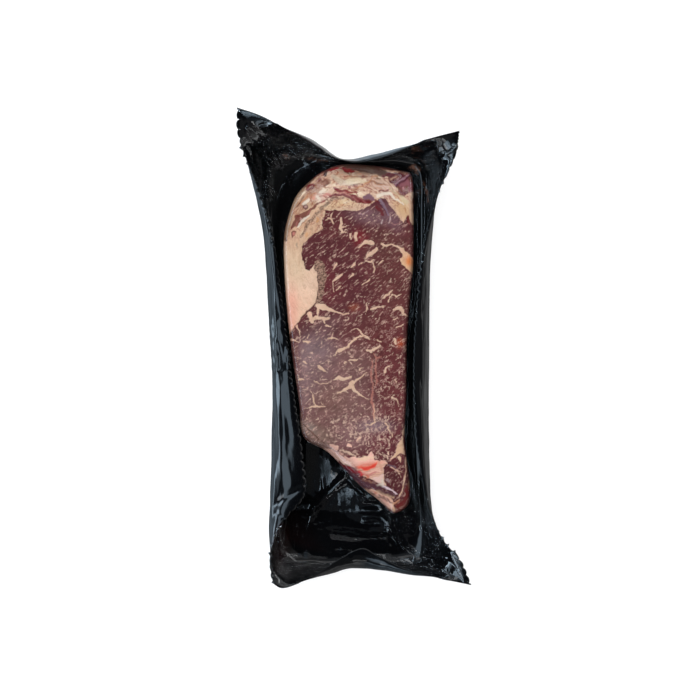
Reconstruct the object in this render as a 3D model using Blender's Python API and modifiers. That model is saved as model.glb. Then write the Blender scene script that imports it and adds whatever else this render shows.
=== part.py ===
"""A striploin steak in its shrink pack: a black base film, a clear top film and the steak between them.

The pack lies on its back with the clear window up (+Z). Its length runs along Y, and the origin is on the
table under the middle of the pack. Each film is one flat rectangle of sheet. The base film is flat under
the steak, leaves the table at a foot line, swells out to a belly line and curls in again to its cut edge,
which flares into an ear at each corner. The clear film lines that wall down to a crevice round the steak,
then climbs the steak's side and lies on its cut face.

Every outline is a loop of four sides, top, right, bottom and left, that meet at the sheet's corners. A
place on a loop is a turn from 0 at the top left corner, clockwise through 1, 2 and 3, back to 4.
"""

import bmesh
import bpy
import numpy as np

MM = 0.001

# Thicknesses and clearances, in millimetres
BASE_FILM = 0.6
TOP_FILM = 0.3
CLEARANCE = 0.3
STEAK_FLOOR = BASE_FILM + CLEARANCE
FILM_FLOOR = STEAK_FLOOR + 0.1

# The steak's height at its middle, how much lower its rolled fat end and its thin tail lie, and between
# which places along its length each of them falls away
STEAK_HEIGHT = 22.4
FAT_END_DROP, FAT_END = 5.5, (88.0, 114.0)
TAIL_DROP, TAIL = 7.0, (-68.0, -104.0)
FACE_WAVE = 0.5
FAT_CAP_RISE = 0.7

# The steak's side: its chamfered foot, its shoulder, and how much wider the shoulder is on the diagonal cut
FOOT_INSET, FOOT_RISE = 2.5, 5.0
SHOULDER_INSET, SHOULDER_DROPS = 1.0, (4.0, 1.0)
FACE_INSET = 3.0
DIAGONAL_SLOPE = 1.4

# How the clear film bridges the crevice: this much higher where the crevice is narrower than this. Then how
# far it keeps from the steak's side and from its shoulder
BRIDGE_RISE, BRIDGE_WIDTH = 7.0, 5.0
FILM_OFF_SIDE = 0.6
FILM_SHOULDER_INSET, FILM_SHOULDER_DROP = 0.8, 0.6

# How the grid of the sheet is shared out: cells on the steak's face, then rings from there to the cut edge
FACE_COLUMNS, FACE_ROWS = 8, 22
STEAK_RINGS = 4
FILM_RINGS = 10
WALL_RINGS = 6
FOOT_RING = 8

# Where the cut edge of both films runs: x, y and height
CUT_EDGE = {
    "top": [
        (-72.2, 149.0, 35), (-56.7, 143.5, 37), (-39.4, 134.2, 36), (-19.5, 122.4, 29),
        (-5.9, 116.5, 25), (6.5, 115.6, 25), (25.1, 120.5, 29), (45.6, 129.2, 34),
    ],
    "right": [
        (66.0, 134.8, 34), (62.9, 118.7, 32), (51.1, 94.5, 29), (43.1, 64.1, 27), (38.8, 26.9, 26),
        (36.9, -13.4, 26), (37.8, -50.6, 26), (41.2, -75.4, 26), (46.8, -102.1, 27),
        (57.4, -121.9, 29), (66.7, -131.2, 30),
    ],
    "bottom": [
        (73.2, -146.7, 29), (53.6, -142.4, 27), (31.9, -136.8, 23), (14.6, -128.7, 19),
        (5.3, -124.4, 18), (-7.1, -130.0, 19), (-27.0, -142.4, 22), (-43.1, -148.9, 24),
    ],
    "left": [
        (-51.1, -145.5, 24), (-51.8, -128.7, 23), (-43.1, -107.6, 24), (-30.1, -90.3, 26),
        (-31.3, -66.1, 26), (-35.6, -35.1, 26), (-40.6, 2.1, 26), (-45.0, 36.2, 26),
        (-50.5, 73.4, 29), (-61.1, 105.6, 32), (-71.6, 131.7, 34),
    ],
}

# The widest line of the swelling wall, seen from above
BELLY = {
    "top": [(-56.7, 125.5), (-42.5, 130.4), (-25.7, 129.2), (-6.5, 118.4), (13.3, 121.1), (33.8, 124.2)],
    "right": [
        (51.1, 118.0), (49.9, 92.0), (48.0, 57.9), (47.1, 11.4), (46.8, -32.0), (47.1, -69.2), (48.0, -103.3),
    ],
    "bottom": [(53.6, -132.4), (38.1, -139.9), (18.3, -138.6), (-0.9, -137.7), (-19.5, -141.7)],
    "left": [
        (-43.1, -139.9), (-51.8, -121.9), (-51.8, -94.0), (-50.8, -58.7), (-51.1, -19.6),
        (-53.3, 30.0), (-56.1, 70.3), (-61.1, 101.3),
    ],
}

# The line where the base film leaves the table
FOOT = {
    "top": [(-43.1, 98.2), (-34.4, 108.1), (-20.8, 114.4), (-5.3, 117.0), (15.2, 115.9), (30.1, 113.8)],
    "right": [
        (40.5, 109.4), (41.4, 82.7), (41.1, 53.6), (39.3, 30.0), (37.2, 2.1), (37.0, -29.5),
        (37.0, -56.8), (39.6, -84.7), (41.2, -106.4),
    ],
    "bottom": [(36.3, -123.1), (19.5, -127.5), (-2.2, -128.7), (-23.9, -128.7)],
    "left": [
        (-36.9, -123.8), (-41.9, -103.3), (-41.9, -75.4), (-40.6, -50.6), (-42.0, -22.7),
        (-44.8, 11.4), (-47.3, 42.4), (-47.9, 67.2),
    ],
}

# The steak's widest outline
STEAK = {
    "top": [(-35.6, 95.1), (-28.2, 103.2), (-18.3, 109.4), (-5.3, 112.4), (13.9, 111.2), (28.8, 109.0)],
    "right": [
        (35.6, 105.3), (37.3, 88.3), (37.2, 53.6), (35.3, 31.2), (33.2, 2.1), (32.9, -29.5),
        (31.9, -56.8), (35.0, -83.5),
    ],
    "bottom": [(34.4, -97.1), (25.1, -102.7), (15.8, -94.6), (4.7, -85.9), (-5.3, -75.4), (-16.4, -64.2)],
    "left": [
        (-31.3, -54.9), (-33.8, -35.1), (-36.9, -14.6), (-40.6, 14.5), (-43.1, 48.6), (-43.1, 70.3),
        (-40.0, 83.9),
    ],
}
SIDES = ("top", "right", "bottom", "left")


def ease(low, high, value):
    """0 up to low, 1 from high on, and a smooth step between."""
    share = np.clip((value - low) / (high - low), 0.0, 1.0)
    return share * share * (3.0 - 2.0 * share)


def smooth_path(points, steps=10):
    """Points along a Catmull-Rom curve from the second point given to the last but one."""
    path = []
    for a, b, c, d in zip(points, points[1:], points[2:], points[3:]):
        for t in np.arange(steps) / steps:
            path.append(
                0.5 * (2 * b + (c - a) * t + (2 * a - 5 * b + 4 * c - d) * t**2 + (3 * b - a - 3 * c + d) * t**3)
            )
    return np.array([*path, points[-2]])


class Loop:
    """A closed outline of four sides, each measured by its own length."""

    def __init__(self, sides, sharp_corners=False):
        lists = [[np.array(point, float) for point in sides[side]] for side in SIDES]
        self.paths = []
        for number, own in enumerate(lists):
            corner, beyond = lists[(number + 1) % 4][:2]
            before = lists[number - 1][-1]
            if sharp_corners:
                before = 2 * own[0] - own[1]
                beyond = 2 * corner - own[-1]
            path = smooth_path([before, *own, corner, beyond])
            along = np.concatenate([[0.0], np.cumsum(np.linalg.norm(np.diff(path, axis=0), axis=1))])
            self.paths.append((along / along[-1], path))

    def at(self, turn):
        """The point at this turn, as x, y and height."""
        share, side = np.modf(turn % 4)
        along, path = self.paths[int(side)]
        point = [np.interp(share, along, axis) for axis in path.T]
        return np.array([*point, 0.0][:3])

    def outward(self, turn, reach=0.05):
        """The horizontal direction that points away from the loop's middle."""
        travel = self.at(turn + reach) - self.at(turn - reach)
        return np.array([-travel[1], travel[0], 0.0]) / np.hypot(travel[0], travel[1])


cut_edge = Loop(CUT_EDGE, sharp_corners=True)
belly = Loop(BELLY)
foot = Loop(FOOT)
steak_outline = Loop(STEAK)


def wall(turn, rise):
    """The outer face of the base film's wall, from its foot at rise 0 to its cut edge at rise 1."""
    low, wide, high = foot.at(turn), belly.at(turn), cut_edge.at(turn)
    swell = (8 * wide - low - high) / 6
    swell_low = np.array([swell[0], swell[1], 0.0])
    swell_high = np.array([swell[0], swell[1], high[2]])
    fall = 1 - rise
    return fall**3 * low + 3 * fall**2 * rise * swell_low + 3 * fall * rise**2 * swell_high + rise**3 * high


def crevice_height(turn):
    """How high the clear film bridges the crevice round the steak: on the table where that is wide."""
    width = np.linalg.norm(foot.at(turn) - steak_outline.at(turn))
    return FILM_FLOOR + BRIDGE_RISE * np.exp(-((width / BRIDGE_WIDTH) ** 2))


def wall_rise(turn, ring):
    """The rise of a ring of the sheet: the cut edge is ring 0, and the foot is the foot ring."""
    heights = np.linspace(0.0, 1.0, 101)
    shares = ease(0.0, 1.0, heights)
    lowest = np.interp((crevice_height(turn) + 1.0) / cut_edge.at(turn)[2], shares, heights)
    if ring <= WALL_RINGS:
        return 1 - (1 - lowest) * ring / WALL_RINGS
    return lowest * (FOOT_RING - ring) / (FOOT_RING - WALL_RINGS)


def steak_top(x, y):
    """The height of the steak's cut face, which rolls off at the fat end and thins towards the tail."""
    height = STEAK_HEIGHT - FAT_END_DROP * ease(*FAT_END, y) - TAIL_DROP * ease(*TAIL, y)
    height += FACE_WAVE * np.sin(y / 17.0 + 1.0) * np.cos(x / 19.0)
    return height + FAT_CAP_RISE * ease(-22.0, -36.0, x) * ease(0.0, 30.0, y)


def steak_point(turn, inset, drop):
    """A point on the steak's rounded shoulder, set in from its outline and below its face."""
    slope = 1 + DIAGONAL_SLOPE * ease(2.05, 2.4, turn % 4) * ease(3.0, 2.75, turn % 4)
    point = steak_outline.at(turn) - inset * slope * steak_outline.outward(turn)
    point[2] = steak_top(*point[:2]) - drop
    return point


def ring_of(column, row, columns, rows):
    """Which ring of the sheet a grid point is on, counted in from the cut edge."""
    return min(column, columns - column, row, rows - row)


def ring_and_turn(column, row, columns, rows):
    """A grid point's ring and its turn on that ring."""
    ring = ring_of(column, row, columns, rows)
    across, along = columns - 2 * ring, rows - 2 * ring
    if row == rows - ring:
        return ring, (column - ring) / across
    if column == columns - ring:
        return ring, 1 + (rows - ring - row) / along
    if row == ring:
        return ring, 2 + (columns - ring - column) / across
    return ring, 3 + (row - ring) / along


def inside_loop(edge, across, along):
    """A point of the patch that fills a loop, where edge gives the loop's points."""
    top, bottom = edge(across), edge(3 - across)
    left, right = edge(3 + along), edge(2 - along)
    corners = (1 - across) * ((1 - along) * edge(3.0) + along * edge(0.0))
    corners += across * ((1 - along) * edge(2.0) + along * edge(1.0))
    return (1 - along) * bottom + along * top + (1 - across) * left + across * right - corners


def shaped_sheet(rings, ring_point, inner_ring, face_point):
    """A flat grid moved to its shape: ring_point outside the inner ring, and face_point from there in."""
    columns, rows = FACE_COLUMNS + 2 * rings, FACE_ROWS + 2 * rings
    sheet = bmesh.new()
    bmesh.ops.create_grid(sheet, x_segments=columns, y_segments=rows, size=1.0)
    for vertex in sheet.verts:
        column = round((vertex.co.x + 1) / 2 * columns)
        row = round((vertex.co.y + 1) / 2 * rows)
        if ring_of(column, row, columns, rows) < inner_ring:
            vertex.co = ring_point(*ring_and_turn(column, row, columns, rows)) * MM
        else:
            across = (column - inner_ring) / (columns - 2 * inner_ring)
            along = (row - inner_ring) / (rows - 2 * inner_ring)
            vertex.co = face_point(across, along) * MM
    point_cells_at_corners(sheet, columns, rows)
    sheet.normal_update()
    return sheet


def point_cells_at_corners(sheet, columns, rows):
    """Split every cell along the diagonal that points at the nearest corner, so that the ears are clean."""
    sheet.verts.ensure_lookup_table()
    for row in range(rows):
        for column in range(columns):
            low_left = row * (columns + 1) + column
            rises = (column < columns / 2) == (row < rows / 2)
            ends = (low_left, low_left + columns + 2) if rises else (low_left + 1, low_left + columns + 1)
            bmesh.ops.connect_verts(sheet, verts=[sheet.verts[end] for end in ends])


def base_film_sheet():
    """The outer face of the base film."""
    return shaped_sheet(
        FILM_RINGS,
        lambda ring, turn: wall(turn, wall_rise(turn, ring)),
        FOOT_RING,
        lambda across, along: inside_loop(foot.at, across, along),
    )


def steak_face_point(across, along, lift=0.0):
    """A point of the steak's cut face, or of the film that lies on it."""
    point = inside_loop(lambda turn: steak_point(turn, FACE_INSET, 0.0), across, along)
    point[2] = steak_top(*point[:2]) + lift
    return point


def top_film_sheet(base_sheet):
    """The under face of the clear film. Where it lines the wall it follows the base film's own points."""
    columns, rows = FACE_COLUMNS + 2 * FILM_RINGS, FACE_ROWS + 2 * FILM_RINGS
    lining = {}
    for vertex in base_sheet.verts:
        row, column = divmod(vertex.index, columns + 1)
        if ring_of(column, row, columns, rows) <= WALL_RINGS:
            lifted = vertex.co / MM + vertex.normal * (BASE_FILM + CLEARANCE)
            lining[ring_and_turn(column, row, columns, rows)] = np.array(lifted)

    def ring_point(ring, turn):
        if ring <= WALL_RINGS:
            return lining[ring, turn]
        if ring == WALL_RINGS + 1:
            near_wall = wall(turn, wall_rise(turn, WALL_RINGS))
            near_steak = steak_outline.at(turn) + 2 * FILM_OFF_SIDE * steak_outline.outward(turn)
            middle = (near_wall + near_steak) / 2
            middle[2] = crevice_height(turn)
            return middle
        if ring == WALL_RINGS + 2:
            return steak_point(turn, 0.0, SHOULDER_DROPS[0]) + FILM_OFF_SIDE * steak_outline.outward(turn)
        return steak_point(turn, FILM_SHOULDER_INSET, FILM_SHOULDER_DROP)

    return shaped_sheet(
        FILM_RINGS,
        ring_point,
        FILM_RINGS,
        lambda across, along: steak_face_point(across, along, CLEARANCE + 0.05),
    )


def steak_sheet():
    """The steak's face and sides down to its lower edge."""
    insets = (FOOT_INSET, 0.0, 0.0, SHOULDER_INSET)
    foot_heights = (STEAK_FLOOR, FOOT_RISE)

    def ring_point(ring, turn):
        if ring >= len(foot_heights):
            return steak_point(turn, insets[ring], SHOULDER_DROPS[ring - len(foot_heights)])
        point = steak_outline.at(turn) - insets[ring] * steak_outline.outward(turn)
        point[2] = foot_heights[ring]
        return point

    return shaped_sheet(STEAK_RINGS, ring_point, STEAK_RINGS, steak_face_point)


def clear_scene():
    """Leave nothing of the startup scene."""
    for thing in list(bpy.data.objects):
        bpy.data.objects.remove(thing, do_unlink=True)


def finish(name, colour, roughness, alpha=1.0):
    """A plain material for one piece."""
    material = bpy.data.materials.new(name)
    material.use_nodes = True
    shader = material.node_tree.nodes["Principled BSDF"]
    shader.inputs["Base Color"].default_value = (*colour, 1.0)
    shader.inputs["Roughness"].default_value = roughness
    shader.inputs["Metallic"].default_value = 0.0
    shader.inputs["Alpha"].default_value = alpha
    return material


def new_piece(name, shape, material, collection):
    """An object with this shape and material, smooth but for its sharp edges."""
    mesh = bpy.data.meshes.new(name)
    shape.to_mesh(mesh)
    mesh.materials.append(material)
    mesh.shade_smooth()
    mesh.set_sharp_from_angle(angle=np.radians(50))
    piece = bpy.data.objects.new(name, mesh)
    collection.objects.link(piece)
    return piece


def thicken(piece, thickness):
    """Give an open sheet its thickness on the side of its normals."""
    walls = piece.modifiers.new("thickness", "SOLIDIFY")
    walls.thickness = thickness * MM
    walls.offset = 1.0
    walls.use_rim = True


def make_steak(collection):
    """The steak, closed underneath by one flat face."""
    shape = steak_sheet()
    rim = [edge for edge in shape.edges if edge.is_boundary]
    bmesh.ops.holes_fill(shape, edges=rim, sides=0)
    bmesh.ops.recalc_face_normals(shape, faces=shape.faces)
    new_piece("steak", shape, finish("raw_beef", (0.19, 0.045, 0.05), 0.35), collection)
    shape.free()


def make_base_film(shape, collection):
    """The black film, with its flat floor as one face."""
    floor = [face for face in shape.faces if all(vertex.co.z < 1e-7 for vertex in face.verts)]
    bmesh.ops.dissolve_faces(shape, faces=floor)
    piece = new_piece("base_film", shape, finish("black_film", (0.012, 0.012, 0.014), 0.12), collection)
    thicken(piece, BASE_FILM)


def make_top_film(shape, collection):
    """The clear film that seals the window side."""
    piece = new_piece("top_film", shape, finish("clear_film", (0.9, 0.9, 0.9), 0.06, 0.25), collection)
    thicken(piece, TOP_FILM)


def main():
    clear_scene()
    collection = bpy.data.collections.new("packed_striploin_steak")
    bpy.context.scene.collection.children.link(collection)
    base_shape = base_film_sheet()
    top_shape = top_film_sheet(base_shape)
    make_steak(collection)
    make_base_film(base_shape, collection)
    make_top_film(top_shape, collection)
    base_shape.free()
    top_shape.free()


main()
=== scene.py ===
# %% [markdown]
# # A striploin steak in its shrink pack
#
# A raw striploin steak lies between two films. The black film is flat under the steak and curls up and in
# again all round. The clear film lines that wall, dips into the gap round the meat and lies tight on its
# cut face. Both films were cut together, so they share their scalloped long edges and their ears.
#
# The films could be cloth that a simulation shrinks round the meat, but then nothing would hold their edges
# and folds where the photo shows them. So each piece starts as one flat grid, and a formula carries each of
# its points to its place.

import bmesh
import bpy
import numpy as np
from mathutils import Matrix, Vector


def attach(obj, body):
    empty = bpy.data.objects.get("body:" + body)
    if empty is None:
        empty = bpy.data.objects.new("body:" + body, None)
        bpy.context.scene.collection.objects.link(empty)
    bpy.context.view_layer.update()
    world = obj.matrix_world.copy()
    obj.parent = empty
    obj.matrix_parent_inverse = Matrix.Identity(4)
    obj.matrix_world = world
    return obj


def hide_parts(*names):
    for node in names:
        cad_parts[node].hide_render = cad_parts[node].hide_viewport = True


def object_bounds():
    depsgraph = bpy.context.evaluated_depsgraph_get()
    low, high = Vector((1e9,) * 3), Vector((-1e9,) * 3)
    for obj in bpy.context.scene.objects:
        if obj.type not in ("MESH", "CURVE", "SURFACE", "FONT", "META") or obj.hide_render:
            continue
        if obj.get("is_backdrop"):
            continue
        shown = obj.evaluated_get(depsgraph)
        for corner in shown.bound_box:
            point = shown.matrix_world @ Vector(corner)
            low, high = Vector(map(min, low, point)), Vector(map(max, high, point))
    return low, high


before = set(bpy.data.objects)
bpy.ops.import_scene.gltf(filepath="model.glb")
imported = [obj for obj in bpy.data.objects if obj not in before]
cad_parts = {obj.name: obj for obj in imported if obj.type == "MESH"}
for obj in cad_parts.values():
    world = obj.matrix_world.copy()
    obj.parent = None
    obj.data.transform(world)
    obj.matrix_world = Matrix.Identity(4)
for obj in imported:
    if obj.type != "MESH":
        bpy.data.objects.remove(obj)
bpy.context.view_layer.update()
MM = 0.001
print("nodes:", sorted(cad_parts))

# %% [markdown]
# ## Measuring with the picture
#
# The camera looks straight down, so a place in the picture is a place on the table. A few helpers serve the
# whole model: one turns millimetres into pixels, one eases between two values, one turns a screen's colour
# into light, and one makes hills by chance. The hills come from a seed, so each run gives the same ones.

# %% Pixels and millimetres
# One pixel of the picture is 0.62 mm on the pack. X grows to the right and Y up the picture.
PIXEL = 0.62
MIDDLE = (353.5, 348.4)


def to_pixels(x, y):
    """Millimetres on the table as places in the picture."""
    return MIDDLE[0] + x / PIXEL, MIDDLE[1] - y / PIXEL


print("the pack's middle is at pixel", to_pixels(0.0, 0.0))

# %% Smooth steps, light and chance
def ease(low, high, value):
    """0 up to low, 1 from high on, and a smooth step between."""
    share = np.clip((value - low) / (high - low), 0.0, 1.0)
    return share * share * (3.0 - 2.0 * share)


def linear(*colour):
    """A colour of 0 to 255 as it looks on a screen, as the light it stands for."""
    share = np.array(colour, float) / 255
    return np.where(share < 0.04045, share / 12.92, ((share + 0.055) / 1.055) ** 2.4)


def noise(x, y, seed):
    """Smooth random hills about one unit apart, from -1 to 1."""
    lattice = np.random.default_rng(seed).uniform(-1, 1, (64, 64))
    column, row = np.floor(x).astype(int), np.floor(y).astype(int)
    across, along = ease(0, 1, x - column), ease(0, 1, y - row)
    corners = [lattice[(row + j) % 64, (column + i) % 64] for j in (0, 1) for i in (0, 1)]
    upper = corners[0] * (1 - across) + corners[1] * across
    lower = corners[2] * (1 - across) + corners[3] * across
    return upper * (1 - along) + lower * along


def rough_noise(x, y, seed):
    """Hills with smaller hills on them."""
    hills = noise(x, y, seed) + 0.5 * noise(2.1 * x, 2.1 * y, seed + 1)
    return (hills + 0.25 * noise(4.3 * x, 4.3 * y, seed + 2)) / 1.5


print("white as light:", linear(255, 255, 255))

# %% [markdown]
# ## Brush strokes and patches
#
# Fat, seams and folds have outlines that no formula gives. An image could carry them, but what is drawn in
# code stays sharp at any size, and it can raise the surface as well as colour it. A stroke is a line with a
# width, as a brush paints it, and a patch is a filled outline. Both say how far inside the shape a place
# is, in pixels: above 0 inside it and below 0 outside.

# %% Distances
FAR = -99.0


def near(px, py, points, reach):
    """Which places are near enough to these points to matter."""
    xs, ys = [p[0] for p in points], [p[1] for p in points]
    inside = (px > min(xs) - reach) & (px < max(xs) + reach)
    return np.flatnonzero(inside & (py > min(ys) - reach) & (py < max(ys) + reach))


def beside(x, y, start, end):
    """How far along the line from start to end each place lies, from 0 to 1, and how far from it."""
    (ax, ay), (bx, by) = start, end
    run = (bx - ax) ** 2 + (by - ay) ** 2
    along = np.clip(((x - ax) * (bx - ax) + (y - ay) * (by - ay)) / run, 0, 1)
    return along, np.hypot(x - ax - along * (bx - ax), y - ay - along * (by - ay))


print("a place beside a line:", beside(np.array([4.0]), np.array([3.0]), (0, 0), (8, 0)))

# %% A brush stroke
def stroke(px, py, points, widths):
    """A brush line through the points. Its widths are spread evenly from its start to its end."""
    depth = np.full(px.shape, FAR)
    widths = np.atleast_1d(widths)
    stops = np.linspace(0, 1, len(widths))
    wide = np.interp(np.linspace(0, 1, len(points)), stops, widths) / 2
    here = near(px, py, points, wide.max() + 3)
    best = np.full(here.shape, FAR)
    for start, end, first, last in zip(points, points[1:], wide, wide[1:]):
        along, away = beside(px[here], py[here], start, end)
        best = np.maximum(best, first + along * (last - first) - away)
    depth[here] = best
    return depth


def deepest(px, py, strokes):
    """The union of strokes."""
    depth = np.full(px.shape, FAR)
    for points, widths in strokes:
        depth = np.maximum(depth, stroke(px, py, points, widths))
    return depth


print("a stroke's middle is", stroke(np.array([5.0]), np.array([0.0]), [(0, 0), (9, 0)], 4)[0], "px deep")

# %% A filled patch
def patch(px, py, points):
    """A filled shape with these corners."""
    depth = np.full(px.shape, FAR)
    here = near(px, py, points, 6)
    x, y = px[here], py[here]
    inside, nearest = np.zeros(x.shape, bool), np.full(x.shape, -FAR)
    for (ax, ay), (bx, by) in zip(points, points[1:] + points[:1]):
        crosses = (ay > y) != (by > y)
        inside ^= crosses & (x < ax + (bx - ax) * (y - ay) / (by - ay if by != ay else 1.0))
        nearest = np.minimum(nearest, beside(x, y, (ax, ay), (bx, by))[1])
    depth[here] = np.where(inside, nearest, -nearest)
    return depth


def deepest_patch(px, py, outlines):
    """The union of patches."""
    return np.maximum.reduce([patch(px, py, outline) for outline in outlines])


square = [(0, 0), (4, 0), (4, 4), (0, 4)]
print("a square's middle is", patch(np.array([2.0]), np.array([2.0]), square)[0], "px deep")

# %% [markdown]
# ## Where the pack's lines run
#
# Three closed lines carry the black film: the foot, where it leaves the table, the belly, where it is
# widest, and the cut edge, which also has a height. A fourth is the steak's own outline. Each could be a
# Blender curve, but then the sheet couldn't ask it for a point at any turn. So a line is a few points a
# side, in mm, and a small class reads a smooth curve through them. Only the cut edge turns sharply at its
# corners, the ears.

# %% The cut edge, with its height above the table
CUT_EDGE = {
    "top": [
        (-72.2, 149.0, 35), (-56.7, 143.5, 37), (-39.4, 134.2, 36), (-19.5, 122.4, 29),
        (-5.9, 116.5, 25), (6.5, 115.6, 25), (25.1, 120.5, 29), (45.6, 129.2, 34),
    ],
    "right": [
        (66.0, 134.8, 34), (62.9, 118.7, 32), (51.1, 94.5, 29), (43.1, 64.1, 27), (38.8, 26.9, 26),
        (36.9, -13.4, 26), (37.8, -50.6, 26), (41.2, -75.4, 26), (46.8, -102.1, 27),
        (57.4, -121.9, 29), (66.7, -131.2, 30),
    ],
    "bottom": [
        (73.2, -146.7, 29), (53.6, -142.4, 27), (31.9, -136.8, 23), (14.6, -128.7, 19),
        (5.3, -124.4, 18), (-7.1, -130.0, 19), (-27.0, -142.4, 22), (-43.1, -148.9, 24),
    ],
    "left": [
        (-51.1, -145.5, 24), (-51.8, -128.7, 23), (-43.1, -107.6, 24), (-30.1, -90.3, 26),
        (-31.3, -66.1, 26), (-35.6, -35.1, 26), (-40.6, 2.1, 26), (-45.0, 36.2, 26),
        (-50.5, 73.4, 29), (-61.1, 105.6, 32), (-71.6, 131.7, 34),
    ],
}
tops = [point[2] for side in CUT_EDGE.values() for point in side]
print("the highest point of the cut edge is at", max(tops), "mm")

# %% The belly and the foot of the wall
BELLY = {
    "top": [(-56.7, 125.5), (-42.5, 130.4), (-25.7, 129.2), (-6.5, 118.4), (13.3, 121.1), (33.8, 124.2)],
    "right": [
        (51.1, 118.0), (49.9, 92.0), (48.0, 57.9), (47.1, 11.4), (46.8, -32.0), (47.1, -69.2), (48.0, -103.3),
    ],
    "bottom": [(53.6, -132.4), (38.1, -139.9), (18.3, -138.6), (-0.9, -137.7), (-19.5, -141.7)],
    "left": [
        (-43.1, -139.9), (-51.8, -121.9), (-51.8, -94.0), (-50.8, -58.7), (-51.1, -19.6),
        (-53.3, 30.0), (-56.1, 70.3), (-61.1, 101.3),
    ],
}
FOOT = {
    "top": [(-43.1, 98.2), (-34.4, 108.1), (-20.8, 114.4), (-5.3, 117.0), (15.2, 115.9), (30.1, 113.8)],
    "right": [
        (40.5, 109.4), (41.4, 82.7), (41.1, 53.6), (39.3, 30.0), (37.2, 2.1), (37.0, -29.5),
        (37.0, -56.8), (39.6, -84.7), (41.2, -106.4),
    ],
    "bottom": [(36.3, -123.1), (19.5, -127.5), (-2.2, -128.7), (-23.9, -128.7)],
    "left": [
        (-36.9, -123.8), (-41.9, -103.3), (-41.9, -75.4), (-40.6, -50.6), (-42.0, -22.7),
        (-44.8, 11.4), (-47.3, 42.4), (-47.9, 67.2),
    ],
}
print("the foot is read from", sum(map(len, FOOT.values())), "points")

# %% The steak's outline
STEAK = {
    "top": [(-35.6, 95.1), (-28.2, 103.6), (-18.3, 110.9), (-5.3, 115.0), (13.9, 114.0), (28.8, 111.2)],
    "right": [
        (36.4, 107.4), (37.3, 88.3), (37.2, 53.6), (35.3, 31.2), (33.2, 2.1), (32.9, -29.5),
        (31.9, -56.8), (35.0, -83.5),
    ],
    "bottom": [(34.4, -97.1), (25.1, -102.7), (15.8, -94.6), (4.7, -85.9), (-5.3, -75.4), (-16.4, -64.2)],
    "left": [
        (-31.3, -54.9), (-33.8, -35.1), (-36.9, -14.6), (-40.6, 14.5), (-43.1, 48.6), (-43.1, 70.3),
        (-40.0, 83.9),
    ],
}
SIDES = ("top", "right", "bottom", "left")
print("the steak is read from", sum(map(len, STEAK.values())), "points")

# %% A smooth closed line
def catmull(a, b, c, d, t):
    """The curve from b to c that also heeds a and d."""
    return 0.5 * (2 * b + (c - a) * t + (2 * a - 5 * b + 4 * c - d) * t**2 + (3 * b - a - 3 * c + d) * t**3)


class Outline:
    """A closed line of four sides, read at a turn from 0 at the top left corner, clockwise, up to 4."""

    def __init__(self, sides, sharp_corners=False, steps=30):
        lists = [[np.array(point, float) for point in sides[side]] for side in SIDES]
        turns, points = [], []
        for number, own in enumerate(lists):
            corner, beyond = lists[(number + 1) % 4][:2]
            before = lists[number - 1][-1]
            if sharp_corners:
                before, beyond = 2 * own[0] - own[1], 2 * corner - own[-1]
            line = [before, *own, corner, beyond]
            fours = list(zip(line, line[1:], line[2:], line[3:]))
            path = [catmull(*four, t) for four in fours for t in np.arange(steps) / steps]
            path = np.array([*path, corner])
            along = np.concatenate([[0.0], np.cumsum(np.linalg.norm(np.diff(path, axis=0), axis=1))])
            turns.append(number + along / along[-1])
            points.append(path)
        self.turns, self.points = np.concatenate(turns), np.concatenate(points)

    def at(self, turn):
        """Points with x, y and height."""
        read = [np.interp(np.mod(turn, 4), self.turns, axis) for axis in self.points.T]
        return np.stack([*read, np.zeros_like(turn)][:3], axis=-1)

    def outward(self, turn, reach=0.05):
        """The level direction away from the loop's middle."""
        travel = self.at(turn + reach) - self.at(turn - reach)
        away = np.stack([-travel[..., 1], travel[..., 0], 0 * travel[..., 0]], axis=-1)
        return away / np.linalg.norm(away, axis=-1, keepdims=True)


cut_edge = Outline(CUT_EDGE, sharp_corners=True)
belly, foot, steak_line = Outline(BELLY), Outline(FOOT), Outline(STEAK)
print("the cut edge has", len(cut_edge.points), "points")

# %% [markdown]
# ## The flat sheet and its rings
#
# A grid is the easiest sheet to make, but the pack runs round in loops. So a place on the sheet has two
# more names: its ring, which says how many cells in from the edge it is, and its turn round that ring. The
# sheet has 28 by 42 cells. The wall takes its outer 6 rings, and the steak's face the middle 8 by 22 cells.

# %% Rings and turns
COLUMNS, ROWS = 28, 42
WALL_RINGS, FOOT_RING, FACE_RING = 6, 8, 10


def ring_and_turn(column, row, columns=COLUMNS, rows=ROWS):
    """How far in from the sheet's edge a place is, and how far round."""
    ring = np.minimum.reduce([column, columns - column, row, rows - row])
    across, along = np.maximum(columns - 2 * ring, 1e-6), np.maximum(rows - 2 * ring, 1e-6)
    turn = 3 + (row - ring) / along
    turn = np.where(ring == row, 2 + (columns - ring - column) / across, turn)
    turn = np.where(ring == columns - column, 1 + (rows - ring - row) / along, turn)
    return ring, np.where(ring == rows - row, (column - ring) / across, turn)


def inner_shares(column, row, ring, columns=COLUMNS, rows=ROWS):
    """How far across and along the part of a sheet inside a ring a place is, from 0 to 1."""
    across = np.clip((column - ring) / (columns - 2 * ring), 0, 1)
    return across, np.clip((row - ring) / (rows - 2 * ring), 0, 1)


print("the sheet's middle is", ring_and_turn(np.array([14.0]), np.array([21.0]))[0][0], "rings in")

# %% Filling a loop, and a smooth run through loops
def inside_loop(edge, across, along):
    """The patch that fills a loop, where edge gives the loop's points."""
    left_share, low_share = (1 - across)[:, None], (1 - along)[:, None]
    right_share, high_share = across[:, None], along[:, None]
    corner = [edge(np.full(1, float(turn))) for turn in range(4)]
    point = low_share * edge(3 - across) + high_share * edge(across)
    point += left_share * edge(3 + along) + right_share * edge(2 - along)
    point -= left_share * (low_share * corner[3] + high_share * corner[0])
    return point - right_share * (low_share * corner[2] + high_share * corner[1])


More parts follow.
